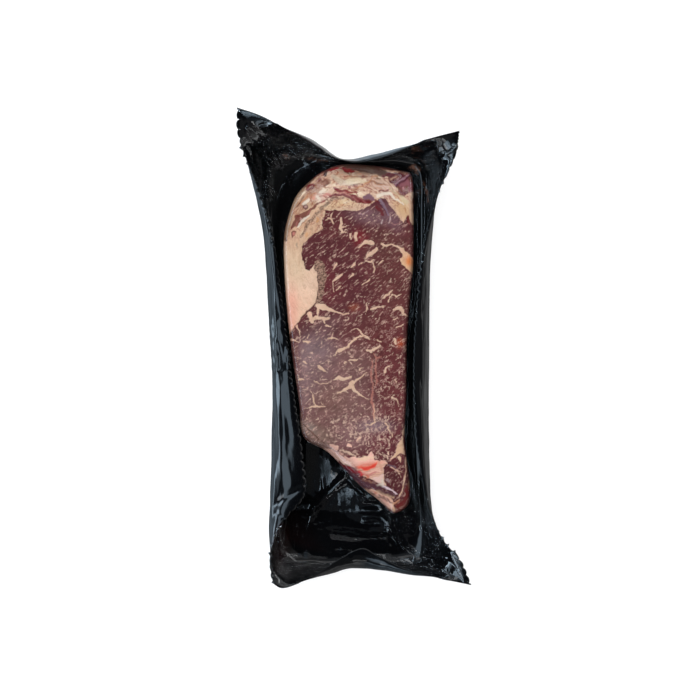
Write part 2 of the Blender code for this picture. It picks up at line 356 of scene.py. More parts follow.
def through_stations(stations, place):
    """A smooth run through arrays of points, one array for each whole number of place, starting at -1."""
    stations = np.stack(stations)
    whole = np.clip(np.floor(place).astype(int), 0, len(stations) - 4)
    rows = np.arange(len(place))
    four = [stations[whole + step, rows] for step in range(4)]
    return catmull(*four, (place - whole)[:, None])


foot_middle = inside_loop(foot.at, np.array([0.5]), np.array([0.5]))[0]
print("the middle of the foot is at", foot_middle.round(1), "mm")

# %% Sheets made by Blender
def flat_grid(columns, rows):
    """A flat sheet whose places are whole columns and rows."""
    sheet = bmesh.new()
    bmesh.ops.create_grid(sheet, x_segments=columns, y_segments=rows, size=0.5)
    stretch = Matrix.Diagonal((columns, rows, 1, 1)) @ Matrix.Translation((0.5, 0.5, 0))
    bmesh.ops.transform(sheet, matrix=stretch, verts=sheet.verts)
    return sheet


def places_of(sheet):
    """The columns and rows of a flat sheet's points."""
    return np.array([vertex.co[:2] for vertex in sheet.verts]).T


def shape_to(sheet, points):
    """Move a flat sheet's points to their places, given in mm."""
    for vertex, point in zip(sheet.verts, points * MM):
        vertex.co = point


trial = flat_grid(3, 2)
print("a sheet of 3 by 2 cells has", len(trial.verts), "points")
trial.free()

# %% [markdown]
# ## The steak's shape
#
# The steak is a slab 22 mm high. Its face is rolled off at the fat end, thin at the tail and never quite
# flat, and the diagonal cut at the tail shows its side. Sculpting could make this, but a sheet whose outer
# rings are the side and whose middle is the face keeps every point in a known place, so the marbling can be
# drawn on it.

# %% The height of the cut face
STEAK_HEIGHT, STEAK_FLOOR, WIDEST_HEIGHT = 22.4, 0.9, 5.0
FAT_END_DROP, FAT_END = 5.5, (88.0, 114.0)
TAIL_DROP, TAIL = 7.0, (-68.0, -104.0)


def face_relief(x, y):
    """Low hills and dents of the meat under its film."""
    hills = 0.5 * np.sin(y / 17.0 + 1.0) * np.cos(x / 19.0) + 0.35 * rough_noise(x / 13, y / 13, 5)
    return hills + 0.12 * rough_noise(x / 4.5, y / 4.5, 9)


def steak_top(x, y):
    """The height of the cut face."""
    height = STEAK_HEIGHT - FAT_END_DROP * ease(*FAT_END, y) - TAIL_DROP * ease(*TAIL, y)
    return height + face_relief(x, y) + 0.7 * ease(-22.0, -36.0, x) * ease(0.0, 30.0, y)


print("the face is", round(float(steak_top(0.0, 0.0)), 1), "mm high at the pack's middle")

# %% The shoulder between face and side
# the two ends of the diagonal, as turns between which it starts and stops
DIAGONAL = ((2.02, 2.3), (3.0, 2.85))
# how far the side's top is below the face, and how far in the face begins and is flat, in mm
SIDE_DROP, FACE_INSET, FLAT_INSET = 4.5, 3.0, 6.0


def on_diagonal(turn):
    """1 on the diagonal cut and 0 on the other sides."""
    return ease(*DIAGONAL[0], np.mod(turn, 4)) * ease(*DIAGONAL[1], np.mod(turn, 4))


def steak_point(turn, inset, drop):
    """A point of the shoulder: set in from the outline and below the face."""
    slope = (1 + 1.9 * on_diagonal(turn))[:, None]
    point = steak_line.at(turn) - inset * slope * steak_line.outward(turn)
    point[:, 2] = steak_top(point[:, 0], point[:, 1]) - drop * (1 + 0.8 * on_diagonal(turn))
    return point


def face_point(across, along, lift=0.0):
    """A point of the cut face, or of the film on it."""
    point = inside_loop(lambda turn: steak_point(turn, FACE_INSET, 0.0), across, along)
    point[:, 2] = steak_top(point[:, 0], point[:, 1]) + lift
    return point


print("the diagonal is", round(float(on_diagonal(2.5)), 2), "at its middle")

# %% The whole steak
FACE_CELLS = (150, 404)
SIDE_CELLS = 5
FOOT_INSET = 2.5


def steak_points(column, row):
    """The whole steak: rings 0 to 4 are its side, from the foot up, and the face lies inside them."""
    side = 4 * SIDE_CELLS
    columns, rows = FACE_CELLS[0] + 2 * side, FACE_CELLS[1] + 2 * side
    ring, turn = ring_and_turn(column, row, columns, rows)
    foot_line = steak_line.at(turn) - FOOT_INSET * steak_line.outward(turn)
    foot_line[:, 2] = STEAK_FLOOR
    wide_line = steak_line.at(turn)
    wide_line[:, 2] = WIDEST_HEIGHT
    stations = [
        foot_line, foot_line, wide_line, steak_point(turn, 0.0, SIDE_DROP), steak_point(turn, 0.9, 1.1),
        steak_point(turn, FACE_INSET, 0.0), steak_point(turn, FLAT_INSET, 0.0),
    ]
    outside = through_stations(stations, np.minimum(ring / SIDE_CELLS, 3.999))
    face = face_point(*inner_shares(column, row, side, columns, rows))
    return np.where((ring >= side)[:, None], face, outside)


steak_sheet = flat_grid(FACE_CELLS[0] + 8 * SIDE_CELLS, FACE_CELLS[1] + 8 * SIDE_CELLS)
steak_places = steak_points(*places_of(steak_sheet))
print("the steak has", len(steak_places), "points, up to", steak_places.max(0).round(1), "mm")

# %% [markdown]
# ## The steak's face as the photo shows it
#
# The big things on the face are drawn one by one, because chance can't place them: the cap of fat and its
# gristle, the thick veins, the seams, the red meat in the fat and the strips at the tail. All places and
# widths here are in pixels of the picture. A stroke is its points, then its widths from start to end.

# %% The fat round the upper muscle
EYE_EDGE = [
    (403.8, 223.6), (397.5, 214.6), (392, 206.6), (386, 198.6), (381.4, 197.7), (376, 200.4),
    (370.7, 203.9), (364.5, 207.5), (355.5, 211.1), (343.9, 210.2), (335, 209.3), (325.9, 209.8),
    (324.4, 214.9), (321.5, 219.5), (322.5, 225.6), (322.5, 227.9), (318.3, 231.7), (313.3, 234.8),
    (308.3, 238.2), (306, 240.9), (303.3, 243.2), (302.2, 246.7), (302, 257), (304, 264),
    (306.3, 269.2), (308.6, 271), (313.1, 265.2), (316.6, 260.6),
]
GRISTLE = [
    (316.6, 260.6), (318.9, 259.4), (322.3, 261.5), (323.5, 264), (326.3, 275.5), (324.6, 287),
    (322.3, 298.5), (318.9, 304.2), (314.3, 304.2), (316.5, 300), (318, 285), (316.5, 272), (313, 268),
]
CAP_EDGE = [
    (314.3, 304.2), (309.7, 307.7), (305.1, 312.3), (299.4, 320.3), (294.8, 326), (291.3, 331.8),
    (289.6, 337.5),
]
FAT_LAND = (
    [(412, 224.5), (410.5, 223), (407.3, 214.6)] + EYE_EDGE + GRISTLE[-1:] + [(316.5, 272), (318, 285)]
    + [(316.5, 300)] + CAP_EDGE + [(289.6, 350), (270, 345), (265, 150), (430, 150), (425, 224)]
)
print("the fat's land has", len(FAT_LAND), "corners")

# %% The fat and the strips at the tail
BOTTOM_FAT = [
    (333.3, 448.7), (337.8, 453.3), (340.9, 451.7), (347, 457.1), (354.7, 457.8), (363.9, 457.8),
    (367.7, 456.3), (372.3, 451.7), (374.6, 460.1), (379.2, 461.7), (384.5, 460.1), (387.6, 463.2),
    (384.1, 467.8), (384.1, 474.7), (386, 483.9), (386, 486.2), (376.1, 482.3), (368.4, 479.3),
    (361.6, 475.4), (356.2, 469.3), (348.6, 460.1), (344.7, 457.8),
]
RIGHT_FAT = [
    (398.8, 247.2), (404.3, 247.2), (405.3, 250.4), (410.2, 253.7), (412.9, 256.9), (414.6, 262.3),
    (413.8, 277), (411.3, 272.6), (407, 268.3), (401, 264), (399.9, 259.1), (402.6, 255.8),
    (402.6, 253.1), (398.8, 248.8),
]
TAIL_FAT = [
    (403.6, 434.1), (403.6, 445.6), (404.4, 454.8), (400.6, 453.3), (393.7, 457.8), (389.1, 461.7),
    (390.6, 458.6), (395.2, 453.3), (396.8, 445.6), (400.6, 440.2),
]
PINK_STRIP = [
    (320.2, 449.4), (325.6, 448.7), (334.8, 451), (340.9, 455.5), (348.6, 460.9), (355.4, 468.6),
    (358.5, 473.1), (353.1, 468.6), (344, 464.7), (337.8, 460.1), (325.6, 452.5),
]
LOWER_STRIP = [
    (365.4, 490), (371.5, 489.2), (383, 494.6), (392.9, 499.9), (394.5, 504.5), (392.2, 512.9),
    (386.8, 508.3), (375.3, 499.9), (366.2, 493.8),
]
DARK_STRIP = [
    (344, 465.5), (353, 469.6), (361.6, 475.4), (371.5, 483.9), (385.3, 489.2), (396.8, 496.9),
    (393.7, 499.2), (385.3, 493.8), (375.3, 490), (363.9, 488.5), (353.1, 480), (347, 472.4),
]
FAT_PATCHES = [FAT_LAND, BOTTOM_FAT, RIGHT_FAT, TAIL_FAT, PINK_STRIP, LOWER_STRIP]
print(len(FAT_PATCHES), "patches of fat")

# %% Veins of the upper muscle
UPPER_VEINS = [
    ([(362, 244.4), (365.2, 241.8), (370, 241.6), (373.4, 243.4)], (2.0, 4.2, 2.4)),
    ([(357.6, 247.2), (362, 244.4)], (1.0, 2.0)),
    ([(376.6, 249), (372.5, 253), (367.4, 255.4)], (3.2, 4.0, 2.4)),
    ([(367.4, 255.4), (364.7, 258.5)], (1.6, 0.8)),
    ([(340.8, 217.9), (341.4, 222.8), (340.3, 227.6), (342.5, 232.0), (346.3, 232.5)], (2.0, 2.6, 1.2)),
    ([(340.3, 227.6), (345.7, 226.2)], (1.4, 1.0)),
    ([(328.2, 217.6), (330.9, 219.9), (333.6, 222.9)], (1.8, 2.8, 1.4)),
    ([(325.2, 219.1), (329, 218)], (0.8, 1.4)),
    ([(330.9, 216.5), (332.4, 211.5)], (1.6, 0.7)),
    ([(356.6, 232.5), (355.5, 236.9), (356, 240.1)], (2.8, 3.2, 1.6)),
    ([(350.9, 233.5), (350.7, 236.8)], 1.8),
    ([(365.2, 260.7), (371.2, 261.2), (373.4, 259.1)], (1.6, 1.2)),
    ([(372.3, 261.8), (375, 268.8), (373.9, 272.6)], (1.0, 1.6, 1.0)),
    ([(382.6, 260.2), (378.2, 265)], (1.6, 1.0)),
    ([(354.4, 263.4), (351.1, 267.2)], (2.4, 1.4)),
    ([(342.8, 273.6), (338, 277), (332.7, 281.3)], (1.2, 3.2, 1.4)),
    ([(352.2, 274.3), (349, 278.1)], (2.4, 1.2)),
    ([(336.5, 264), (333.3, 268.8)], (1.8, 1.2)),
    ([(362, 262.3), (358.7, 265)], (1.4, 1.0)),
    ([(369, 279.7), (362.5, 285)], (1.6, 1.2)),
    ([(381, 243.4), (387.5, 245.4), (392.9, 244.4), (398.8, 247.2)], (2.4, 1.4, 2.4)),
    ([(383.8, 246), (382.4, 248.6)], (1.4, 0.8)),
    ([(340.4, 285.7), (336.4, 290.2)], (1.2, 0.8)),
    ([(333.5, 283), (333.9, 292)], (1.0, 0.8)),
]
print(len(UPPER_VEINS), "veins in the upper muscle")

# %% Claws under the fat cap
CLAWS = [
    ([(318, 305.8), (325, 307.6), (334.8, 311.6)], (5.6, 4.6, 2.6)),
    ([(334.8, 311.6), (340, 313.4), (344.7, 314.5), (348.8, 312.8)], (2.2, 1.6, 1.0)),
    ([(309, 313), (310.4, 317.6), (312, 322)], (4.2, 3.4)),
    ([(310.6, 321), (316, 317.6), (322, 318), (329, 318.6)], (3.6, 4.4, 2.2)),
    ([(317.3, 306), (317.7, 318)], (1.8, 1.8)),
    ([(323.4, 317.6), (324, 323)], (2.6, 1.2)),
    ([(295.8, 324.8), (299.9, 333.1)], (2.4, 1.0)),
    ([(299.5, 337.5), (299.9, 333.1)], (0.7, 1.0)),
    ([(304.2, 341.4), (307, 342), (310.7, 341.4)], (1.8, 2.6, 1.2)),
    ([(307.4, 338), (309.6, 334.2)], (1.2, 0.6)),
    ([(288.6, 339), (293, 340.4), (299, 341.4)], (2.2, 0.9)),
    ([(325.6, 325.7), (330.6, 326.5)], (2.0, 1.2)),
    ([(328.1, 338.9), (333, 338.2), (338.1, 339.8)], (1.2, 2.0, 1.0)),
    ([(333.1, 333.1), (331.4, 338.9)], (0.8, 1.4)),
]
print(len(CLAWS), "strokes under the fat cap")

# %% Veins of the middle
MIDDLE_VEINS = [
    (
        [(338.9, 350.5), (343, 349), (347.2, 347.2), (353, 340.6), (358, 337.3), (363, 335.6)],
        (3.4, 2.2, 1.6),
    ),
    ([(363, 335.6), (367.1, 337.7), (369.6, 339.8)], (2.0, 1.0)),
    ([(362.9, 335.6), (359.6, 330.6), (357.5, 328.6), (352.2, 329.8)], (2.4, 1.4, 0.9)),
    ([(336.6, 352), (334.6, 356.6)], (1.6, 1.0)),
    ([(366.3, 349.7), (372.1, 351.6), (377, 348), (380.4, 345.6)], (2.0, 3.0, 1.0)),
    ([(376.2, 339.8), (381.2, 342.2)], (1.4, 0.8)),
    ([(348, 361.3), (353, 360.1), (358, 359.7)], (1.2, 2.0, 1.2)),
    ([(344.4, 363.4), (345.6, 361.6)], 1.4),
    ([(319, 367.1), (323.1, 369.8), (326.6, 371)], (3.0, 2.6, 1.0)),
    ([(303, 361.2), (306.6, 364)], (1.8, 1.0)),
    ([(333.9, 379.6), (338.6, 377.4), (343, 379.2), (351.3, 377.4)], (1.4, 3.8, 1.6)),
    ([(338.1, 393.9), (344.7, 390.6), (350.5, 386.6), (355.3, 381.4)], (1.2, 2.4, 4.6, 2.4)),
    ([(351.6, 384), (353.6, 390)], (6.0, 3.0)),
    ([(355.3, 381.4), (360.1, 377.2), (366.3, 372.1)], (2.4, 1.0)),
    ([(353.8, 388.5), (359.6, 395.3), (363.8, 397), (368.8, 400.3)], (2.6, 1.8, 0.8)),
    ([(359.6, 369.6), (362.1, 367.1)], (1.8, 1.0)),
    ([(310.7, 391.2), (313.2, 396.1), (313.2, 401.1), (316.5, 406.9)], (1.4, 1.8)),
    ([(316.5, 406.9), (321, 406.4), (325.6, 406.9)], (2.0, 1.0)),
    ([(316.5, 406.9), (311, 407.2), (305.7, 408.6)], (1.8, 0.8)),
    ([(320.7, 402.8), (324, 405.3)], (0.9, 0.7)),
    ([(314, 380.4), (320.7, 383.7), (328.1, 384.5)], (1.1, 0.8)),
    ([(299.1, 380.2), (303.2, 379.6)], (2.6, 1.2)),
]
print(len(MIDDLE_VEINS), "veins in the middle")

# %% Veins on the right and at the tail
TAIL_VEINS = [
    ([(394.8, 309.6), (398, 308.2), (401.3, 308.8), (403.2, 313.2), (407.4, 315.6)], (2.2, 3.4, 1.6)),
    ([(383.7, 298.3), (387, 295.4), (389.5, 293.3), (392, 290)], (2.0, 1.8, 1.0)),
    ([(392, 294.1), (388.6, 302.4)], (1.6, 1.0)),
    ([(392, 294), (396.9, 296.6), (401.1, 293.3)], (1.2, 1.4, 1.0)),
    ([(371.2, 309.9), (377.9, 306.6), (384.5, 306.6)], (1.8, 1.2)),
    ([(366.3, 303.3), (367.1, 308.2)], (1.2, 1.4)),
    ([(366.8, 306), (365, 314)], (1.2, 0.8)),
    ([(396.1, 327.3), (400, 325.6), (403.6, 324.8)], (1.6, 1.0)),
    ([(393.6, 319), (397.8, 317.4)], (1.2, 0.8)),
    ([(394.5, 339.6), (395.4, 344.2)], (3.0, 2.0)),
    ([(385.3, 373.4), (386.2, 367.9), (390.3, 365.9)], (1.6, 1.2)),
    ([(395.3, 379.6), (396.3, 383)], (1.4, 0.8)),
    ([(392, 397.8), (396.1, 399.5), (399.4, 404.4)], (1.8, 1.6, 1.0)),
    ([(385.3, 423.4), (389.9, 430.3), (392.2, 437.2)], (2.2, 1.0)),
    ([(336.3, 448.7), (331, 446)], (4.6, 3.0)),
    ([(347.8, 445.6), (351, 446.6)], (3.6, 2.0)),
    ([(360, 438), (357, 441)], (3.0, 1.6)),
    ([(390.6, 467), (396.8, 470.1), (402.1, 472.4)], (1.4, 1.0)),
    ([(397, 470.3), (401, 477.7)], (1.2, 0.8)),
    ([(399.1, 457.8), (400.6, 462.4)], (3.2, 1.6)),
    ([(405.2, 457.8), (405.9, 473.1), (403.6, 487.7), (399.8, 497.6)], (1.4, 1.8, 1.6)),
    ([(406, 423.5), (403.6, 434)], (1.0, 3.0)),
    ([(373.8, 404), (374.6, 412), (373.8, 418), (375.3, 421.9)], (1.4, 2.0, 1.2)),
    ([(375.3, 421.9), (371, 424.4), (366.2, 424.9)], (1.6, 1.2)),
    ([(388.4, 494), (391, 502), (393, 512)], (1.2, 1.6, 1.2)),
]
FAT_STROKES = UPPER_VEINS + CLAWS + MIDDLE_VEINS + TAIL_VEINS
print(len(FAT_STROKES), "veins in all")

# %% Red meat in the fat
RED_PATCHES = [
    [
        (291.5, 224.1), (293, 219.5), (296.1, 215.3), (299.9, 213.4), (309.1, 209.5), (312.9, 207.2),
        (316.7, 203), (320.6, 201.5), (327.8, 198.4), (330.9, 199.2), (324, 200.7), (320.2, 203),
        (316.7, 205.7), (313.3, 209.5), (309.9, 213.4), (306.8, 216.8), (304.5, 220.3), (301.4, 224.1),
        (298.4, 226), (294.5, 226.4), (292.6, 228.7), (289.6, 229.8), (290.3, 226.8),
    ],
    [
        (290.1, 232.9), (292.6, 231.2), (296.1, 231.7), (295.7, 234.8), (293, 236.3), (291.9, 237.9),
        (290.9, 235.6),
    ],
    [
        (385, 172.7), (392.1, 171.8), (404.6, 171.8), (411.5, 173.6), (414, 180.7), (412.7, 187.9),
        (410.9, 192.3), (404.6, 194.1), (399.3, 191.4), (397.5, 186.1), (390.4, 181.6), (388.6, 177.1),
    ],
    [(363, 197), (366, 194.6), (369.6, 194), (375, 198.6), (371.6, 201.8), (366.6, 201.6)],
]
RED_STROKES = [
    (
        [(326, 170.5), (331.5, 168.5), (335.7, 167), (342, 167.6), (348.2, 171.4), (352.9, 172.2)],
        (3.2, 1.6, 2.4, 1.2),
    ),
    ([(333.9, 187.5), (339, 190.4), (343.9, 189.6), (350, 191.6), (355.4, 192)], (1.6, 2.6, 1.8)),
    ([(330.4, 194.6), (337, 194.6), (343.9, 193.2)], (1.4, 2.2)),
    ([(349, 193.6), (352.9, 196.8), (358.2, 200.4), (364.5, 202), (370.7, 200.4)], (1.6, 4.6, 4.4, 3.4)),
    ([(343.9, 193.2), (349, 193.6)], (2.0, 2.0)),
    ([(376, 199.6), (382, 206), (387, 213)], (2.4, 1.6)),
    ([(305.6, 186), (309, 185.4), (314, 184.8)], (3.4, 1.8)),
    ([(319.5, 178.5), (322, 182), (326, 183)], (3.2, 3.0)),
    ([(329, 197.4), (338, 197.2)], (1.6, 1.0)),
    ([(303.6, 206.2), (304.6, 209.2)], (2.6, 1.6)),
    ([(380, 190), (387.4, 190)], (1.2, 1.0)),
    ([(408.4, 215.8), (407.6, 220), (408.6, 223)], (2.6, 2.0)),
    ([(413.6, 178), (413.8, 190), (413.4, 206)], (1.6, 1.2)),
]
print(len(RED_PATCHES), "patches and", len(RED_STROKES), "strokes of red in the fat")

# %% Seams and thin dark lines
# The pink seam that runs down the lower muscle
SEAM_STROKES = [
    ([(371.8, 358.8), (372.1, 364.6), (371.2, 372.9), (372.9, 385.4), (373.2, 389.5)], (1.2, 1.6, 1.2)),
    ([(373.2, 389.5), (372.1, 397), (371.6, 401.9), (373.7, 406.1), (373.9, 418.5)], (1.2, 2.6, 1.4)),
    (
        [(374.6, 353.8), (377, 358.8), (375.4, 364.6), (376.2, 372.9), (377, 381.2), (375.4, 387.8)],
        (1.2, 1.6, 1.0),
    ),
    ([(377, 358), (381, 357)], (2.0, 0.8)),
]
# Grey speckled seams
GREY_STROKES = [
    (
        [(333.6, 198.6), (327.8, 203), (321.3, 207.6), (316.7, 213.4), (311.8, 219.5), (308.7, 221.8)],
        (3.6, 3.2, 3.6),
    ),
    ([(308.7, 221.8), (304.5, 230.2), (301.8, 235.2), (300.3, 237.1)], (3.2, 2.2)),
    ([(345, 197.4), (333.6, 198.6)], (2.0, 3.6)),
]
# Thin dark lines: the fat cap's lower edge and lines at its top, one of which is painted shadow in a crease
DARK_LINES_AND_SHADE = [
    ([(317, 302), *CAP_EDGE], (0.9, 1.1, 0.8)),
    ([(373, 352), (375.4, 358), (373.6, 364), (373.8, 373), (375, 381), (374.2, 388)], (0.7, 1.0, 0.7)),
    ([(296, 207), (300, 201), (303.4, 196)], (0.8, 1.0)),
    # painted shadow: the shade in a crease at the top of the fat end
    ([(345, 170), (352, 175.4), (360, 176.4), (368, 175.6)], (1.6, 1.2, 0.8)),
    ([(366, 182), (371, 180), (378, 183), (384, 184)], (0.8, 1.2, 0.7)),
    ([(350, 185), (358, 183.4), (363, 184.4)], (0.7, 1.0, 0.7)),
    ([(303, 424), (309, 430), (318, 438.6), (326, 445)], (1.2, 1.6, 1.0)),
    ([(379.2, 498.4), (383.4, 500), (387.6, 502.2)], (1.8, 2.6, 1.4)),
    ([(370, 494), (375, 496)], (1.2, 1.0)),
    ([(344.6, 464.4), (353.4, 468.8), (361.6, 475), (371.5, 483), (385.3, 488.4)], (1.0, 1.2, 0.8)),
]
print(len(SEAM_STROKES), "strokes of the seam and", len(DARK_LINES_AND_SHADE), "dark lines")

# %% [markdown]
# ## Colours of the meat and of the fat
#
# Meat isn't one red: here it is purple under the fat and darker at the tail. Lean and fat each get a
# ground colour with soft round tints over it, and small marks with sharp edges come on top. Some of them
# are painted light: haze of the film's glare on the lean, shade along the rim of the fat end, glints of the
# film and the two sides of a fold in it. Painting on an image would do the same, but a point of the mesh
# can carry a colour itself. A tint is its middle, half widths, turn in degrees, colour and strength, and a
# later one covers an earlier one.

# %% Tints of the lean meat, and painted haze on it
LEAN = (92, 46, 49)
LEAN_AND_HAZE_TINTS = [
    ((395, 280), (26, 60), 0, (104, 58, 55), 0.75),
    ((384, 245), (24, 18), 20, (98, 57, 54), 0.7),
    ((372, 216), (26, 9), 8, (117, 83, 87), 0.95),
    ((392, 216), (8, 17), -25, (117, 83, 90), 0.7),
    ((333, 225), (16, 14), 0, (100, 50, 50), 0.6),
    ((360, 238), (8, 9), 0, (122, 38, 44), 0.8),
    ((330, 285), (14, 16), 0, (104, 42, 46), 0.5),
    ((340, 330), (48, 26), 0, (104, 60, 60), 0.7),
    ((380, 340), (26, 24), 0, (100, 50, 48), 0.6),
    # this tint and the next three are painted haze: the film's soft glare over the left of the lean, drawn as
    # paler, greyer meat
    ((316, 356), (22, 24), -20, (136, 112, 114), 0.9),
    ((308, 385), (18, 28), 0, (133, 107, 108), 0.85),
    ((334, 378), (30, 30), 0, (126, 92, 90), 0.75),
    ((345, 412), (44, 26), 0, (128, 92, 88), 0.85),
    ((332, 400), (20, 16), 0, (118, 84, 74), 0.5),
    ((356, 365), (24, 20), 0, (124, 88, 84), 0.7),
    ((396, 380), (20, 60), 0, (104, 52, 53), 0.9),
    ((378, 440), (34, 22), 0, (104, 52, 56), 0.95),
    ((352, 436), (22, 16), 0, (134, 98, 96), 0.85),
    ((376, 426), (18, 7), 0, (144, 124, 130), 0.5),
    ((394, 482), (12, 22), 0, (84, 36, 39), 0.95),
    ((292, 380), (7, 60), 0, (108, 64, 60), 0.8),
    ((318, 437), (20, 12), 38, (132, 106, 94), 0.8),
    ((308, 428), (9, 6), 30, (150, 130, 122), 0.7),
    ((327, 326), (16, 9), -30, (112, 82, 84), 0.5),
    ((400, 343), (5, 5), 0, (158, 66, 40), 0.9),
    ((354, 307), (6, 4), 0, (140, 66, 44), 0.6),
    ((402, 510), (10, 8), 0, (120, 60, 50), 0.9),
]
print(len(LEAN_AND_HAZE_TINTS), "tints of the lean meat")

# %% Tints of the fat, and painted shade on its rim
FAT = (214, 176, 150)
FAT_AND_SHADE_TINTS = [
    ((300, 290), (18, 34), 0, (240, 201, 173), 1.0),
    ((296, 262), (12, 22), 0, (222, 188, 156), 0.9),
    ((302, 306), (12, 14), 0, (240, 190, 160), 0.6),
    ((291, 312), (7, 26), 0, (238, 168, 146), 0.8),
    ((303, 226), (20, 26), 35, (212, 170, 138), 0.8),
    ((335, 203), (26, 6), -8, (214, 180, 142), 0.9),
    ((320, 195), (12, 10), 0, (222, 186, 172), 0.8),
    ((350, 180), (40, 9), 0, (206, 166, 138), 0.9),
    # painted shade: the brown-grey band along the top edge, in the flange's shadow
    ((362, 170), (30, 6), 4, (128, 98, 82), 0.95),
    ((395, 185), (18, 12), 0, (196, 160, 134), 0.8),
    ((390, 192), (22, 8), 30, (206, 172, 158), 0.8),
    ((402, 206), (8, 16), -30, (206, 164, 122), 0.9),
    # this tint and the next two are painted shade: browner fat along the top left rim, where the side lies in
    # shadow
    ((312, 187), (13, 10), -40, (150, 112, 88), 0.8),
    ((300, 200), (10, 12), -40, (178, 140, 112), 0.7),
    ((289, 214), (5, 22), 10, (150, 116, 94), 0.8),
    ((408, 262), (9, 14), 0, (222, 172, 130), 0.8),
    ((409.5, 261), (4, 5), 0, (214, 120, 66), 0.95),
    ((362, 458), (34, 20), 0, (240, 186, 168), 1.0),
    ((364, 468), (20, 5), -14, (224, 124, 103), 0.8),
    ((366, 467), (9, 2.4), -4, (214, 66, 52), 0.9),
    ((357, 472), (6, 3.2), 40, (170, 24, 30), 0.95),
    ((376, 476), (12, 6), 30, (240, 184, 164), 0.7),
    ((340, 456), (24, 6), 38, (196, 150, 136), 0.95),
    ((380, 500), (18, 8), 38, (226, 170, 148), 0.95),
    ((398, 450), (8, 14), 0, (208, 166, 132), 0.8),
]
print(len(FAT_AND_SHADE_TINTS), "tints of the fat")

# %% Laying tints over each other
def tinted(px, py, ground, tints):
    """A colour for each place: the ground colour with soft tints laid over it."""
    colour = np.tile(linear(*ground), (len(px), 1))
    for (x, y), (wide, tall), turned, tint, strength in tints:
        cos, sin = np.cos(np.radians(turned)), np.sin(np.radians(turned))
        across = ((px - x) * cos + (py - y) * sin) / wide
        along = (-(px - x) * sin + (py - y) * cos) / tall
        share = strength * np.exp(-((across**2 + along**2) ** 1.5))
        colour += share[:, None] * (linear(*tint) - colour)
    return colour


print("the lean meat's ground as light:", linear(*LEAN).round(3))

# %% Colours of small marks
# as they look on a screen, from 0 to 255
# the first colour here is a painted highlight: the pale glint of the film on the fat
PAINTED_GLINT, TAN, ORANGE, ROSE = (226, 208, 188), (176, 132, 100), (186, 124, 86), (178, 112, 106)
DEEP_RED, MAROON = (112, 34, 36), (84, 30, 38)
RED_COLOUR, DARK_COLOUR, STRIP_COLOUR = (94, 30, 33), (84, 50, 42), (84, 38, 42)
GRISTLE_COLOUR, SEAM_COLOUR = (150, 118, 100), (182, 116, 102)
print("a mark of rose as light:", linear(*ROSE).round(3))

# %% Painted shade on the rim of the fat end
# each mark: points, widths, colour and strength, in the order in which they are painted
# these dark marks are painted shade along the rim, where the steak's side turns down into the flange's
# shadow; the red ones also give the meat's own dark red there
RIM_SHADE_MARKS = [
    (
        [(285.5, 240), (286, 226), (289, 212), (294.6, 199.4), (302, 188), (312, 177.6)],
        (3, 4.4, 3.4), (100, 68, 54), 0.85,
    ),
    ([(314, 176), (324, 169), (336, 165.6)], (2.4, 3.4, 2.4), (112, 50, 46), 0.85),
    (
        [(336, 165), (348, 163.2), (360, 163.6), (378, 165), (396, 168), (409, 170.4)],
        (3, 4.4, 3.4), (88, 44, 42), 0.85,
    ),
    ([(412, 171.6), (415, 184), (415.6, 200), (415, 214)], (3, 3.6, 2.4), (98, 38, 40), 0.85),
    ([(286.5, 236), (288, 224), (291, 211), (296.5, 198), (303, 188.5)], (3, 5, 4), (150, 120, 96), 0.8),
    ([(346, 166), (358, 167.4), (371.3, 168.8), (385, 172)], (5, 8, 6), (70, 46, 40), 0.92),
    ([(360, 172), (371, 173.2), (382, 175)], (1, 2), (132, 98, 80), 0.6),
]
print(len(RIM_SHADE_MARKS), "marks on the rim")

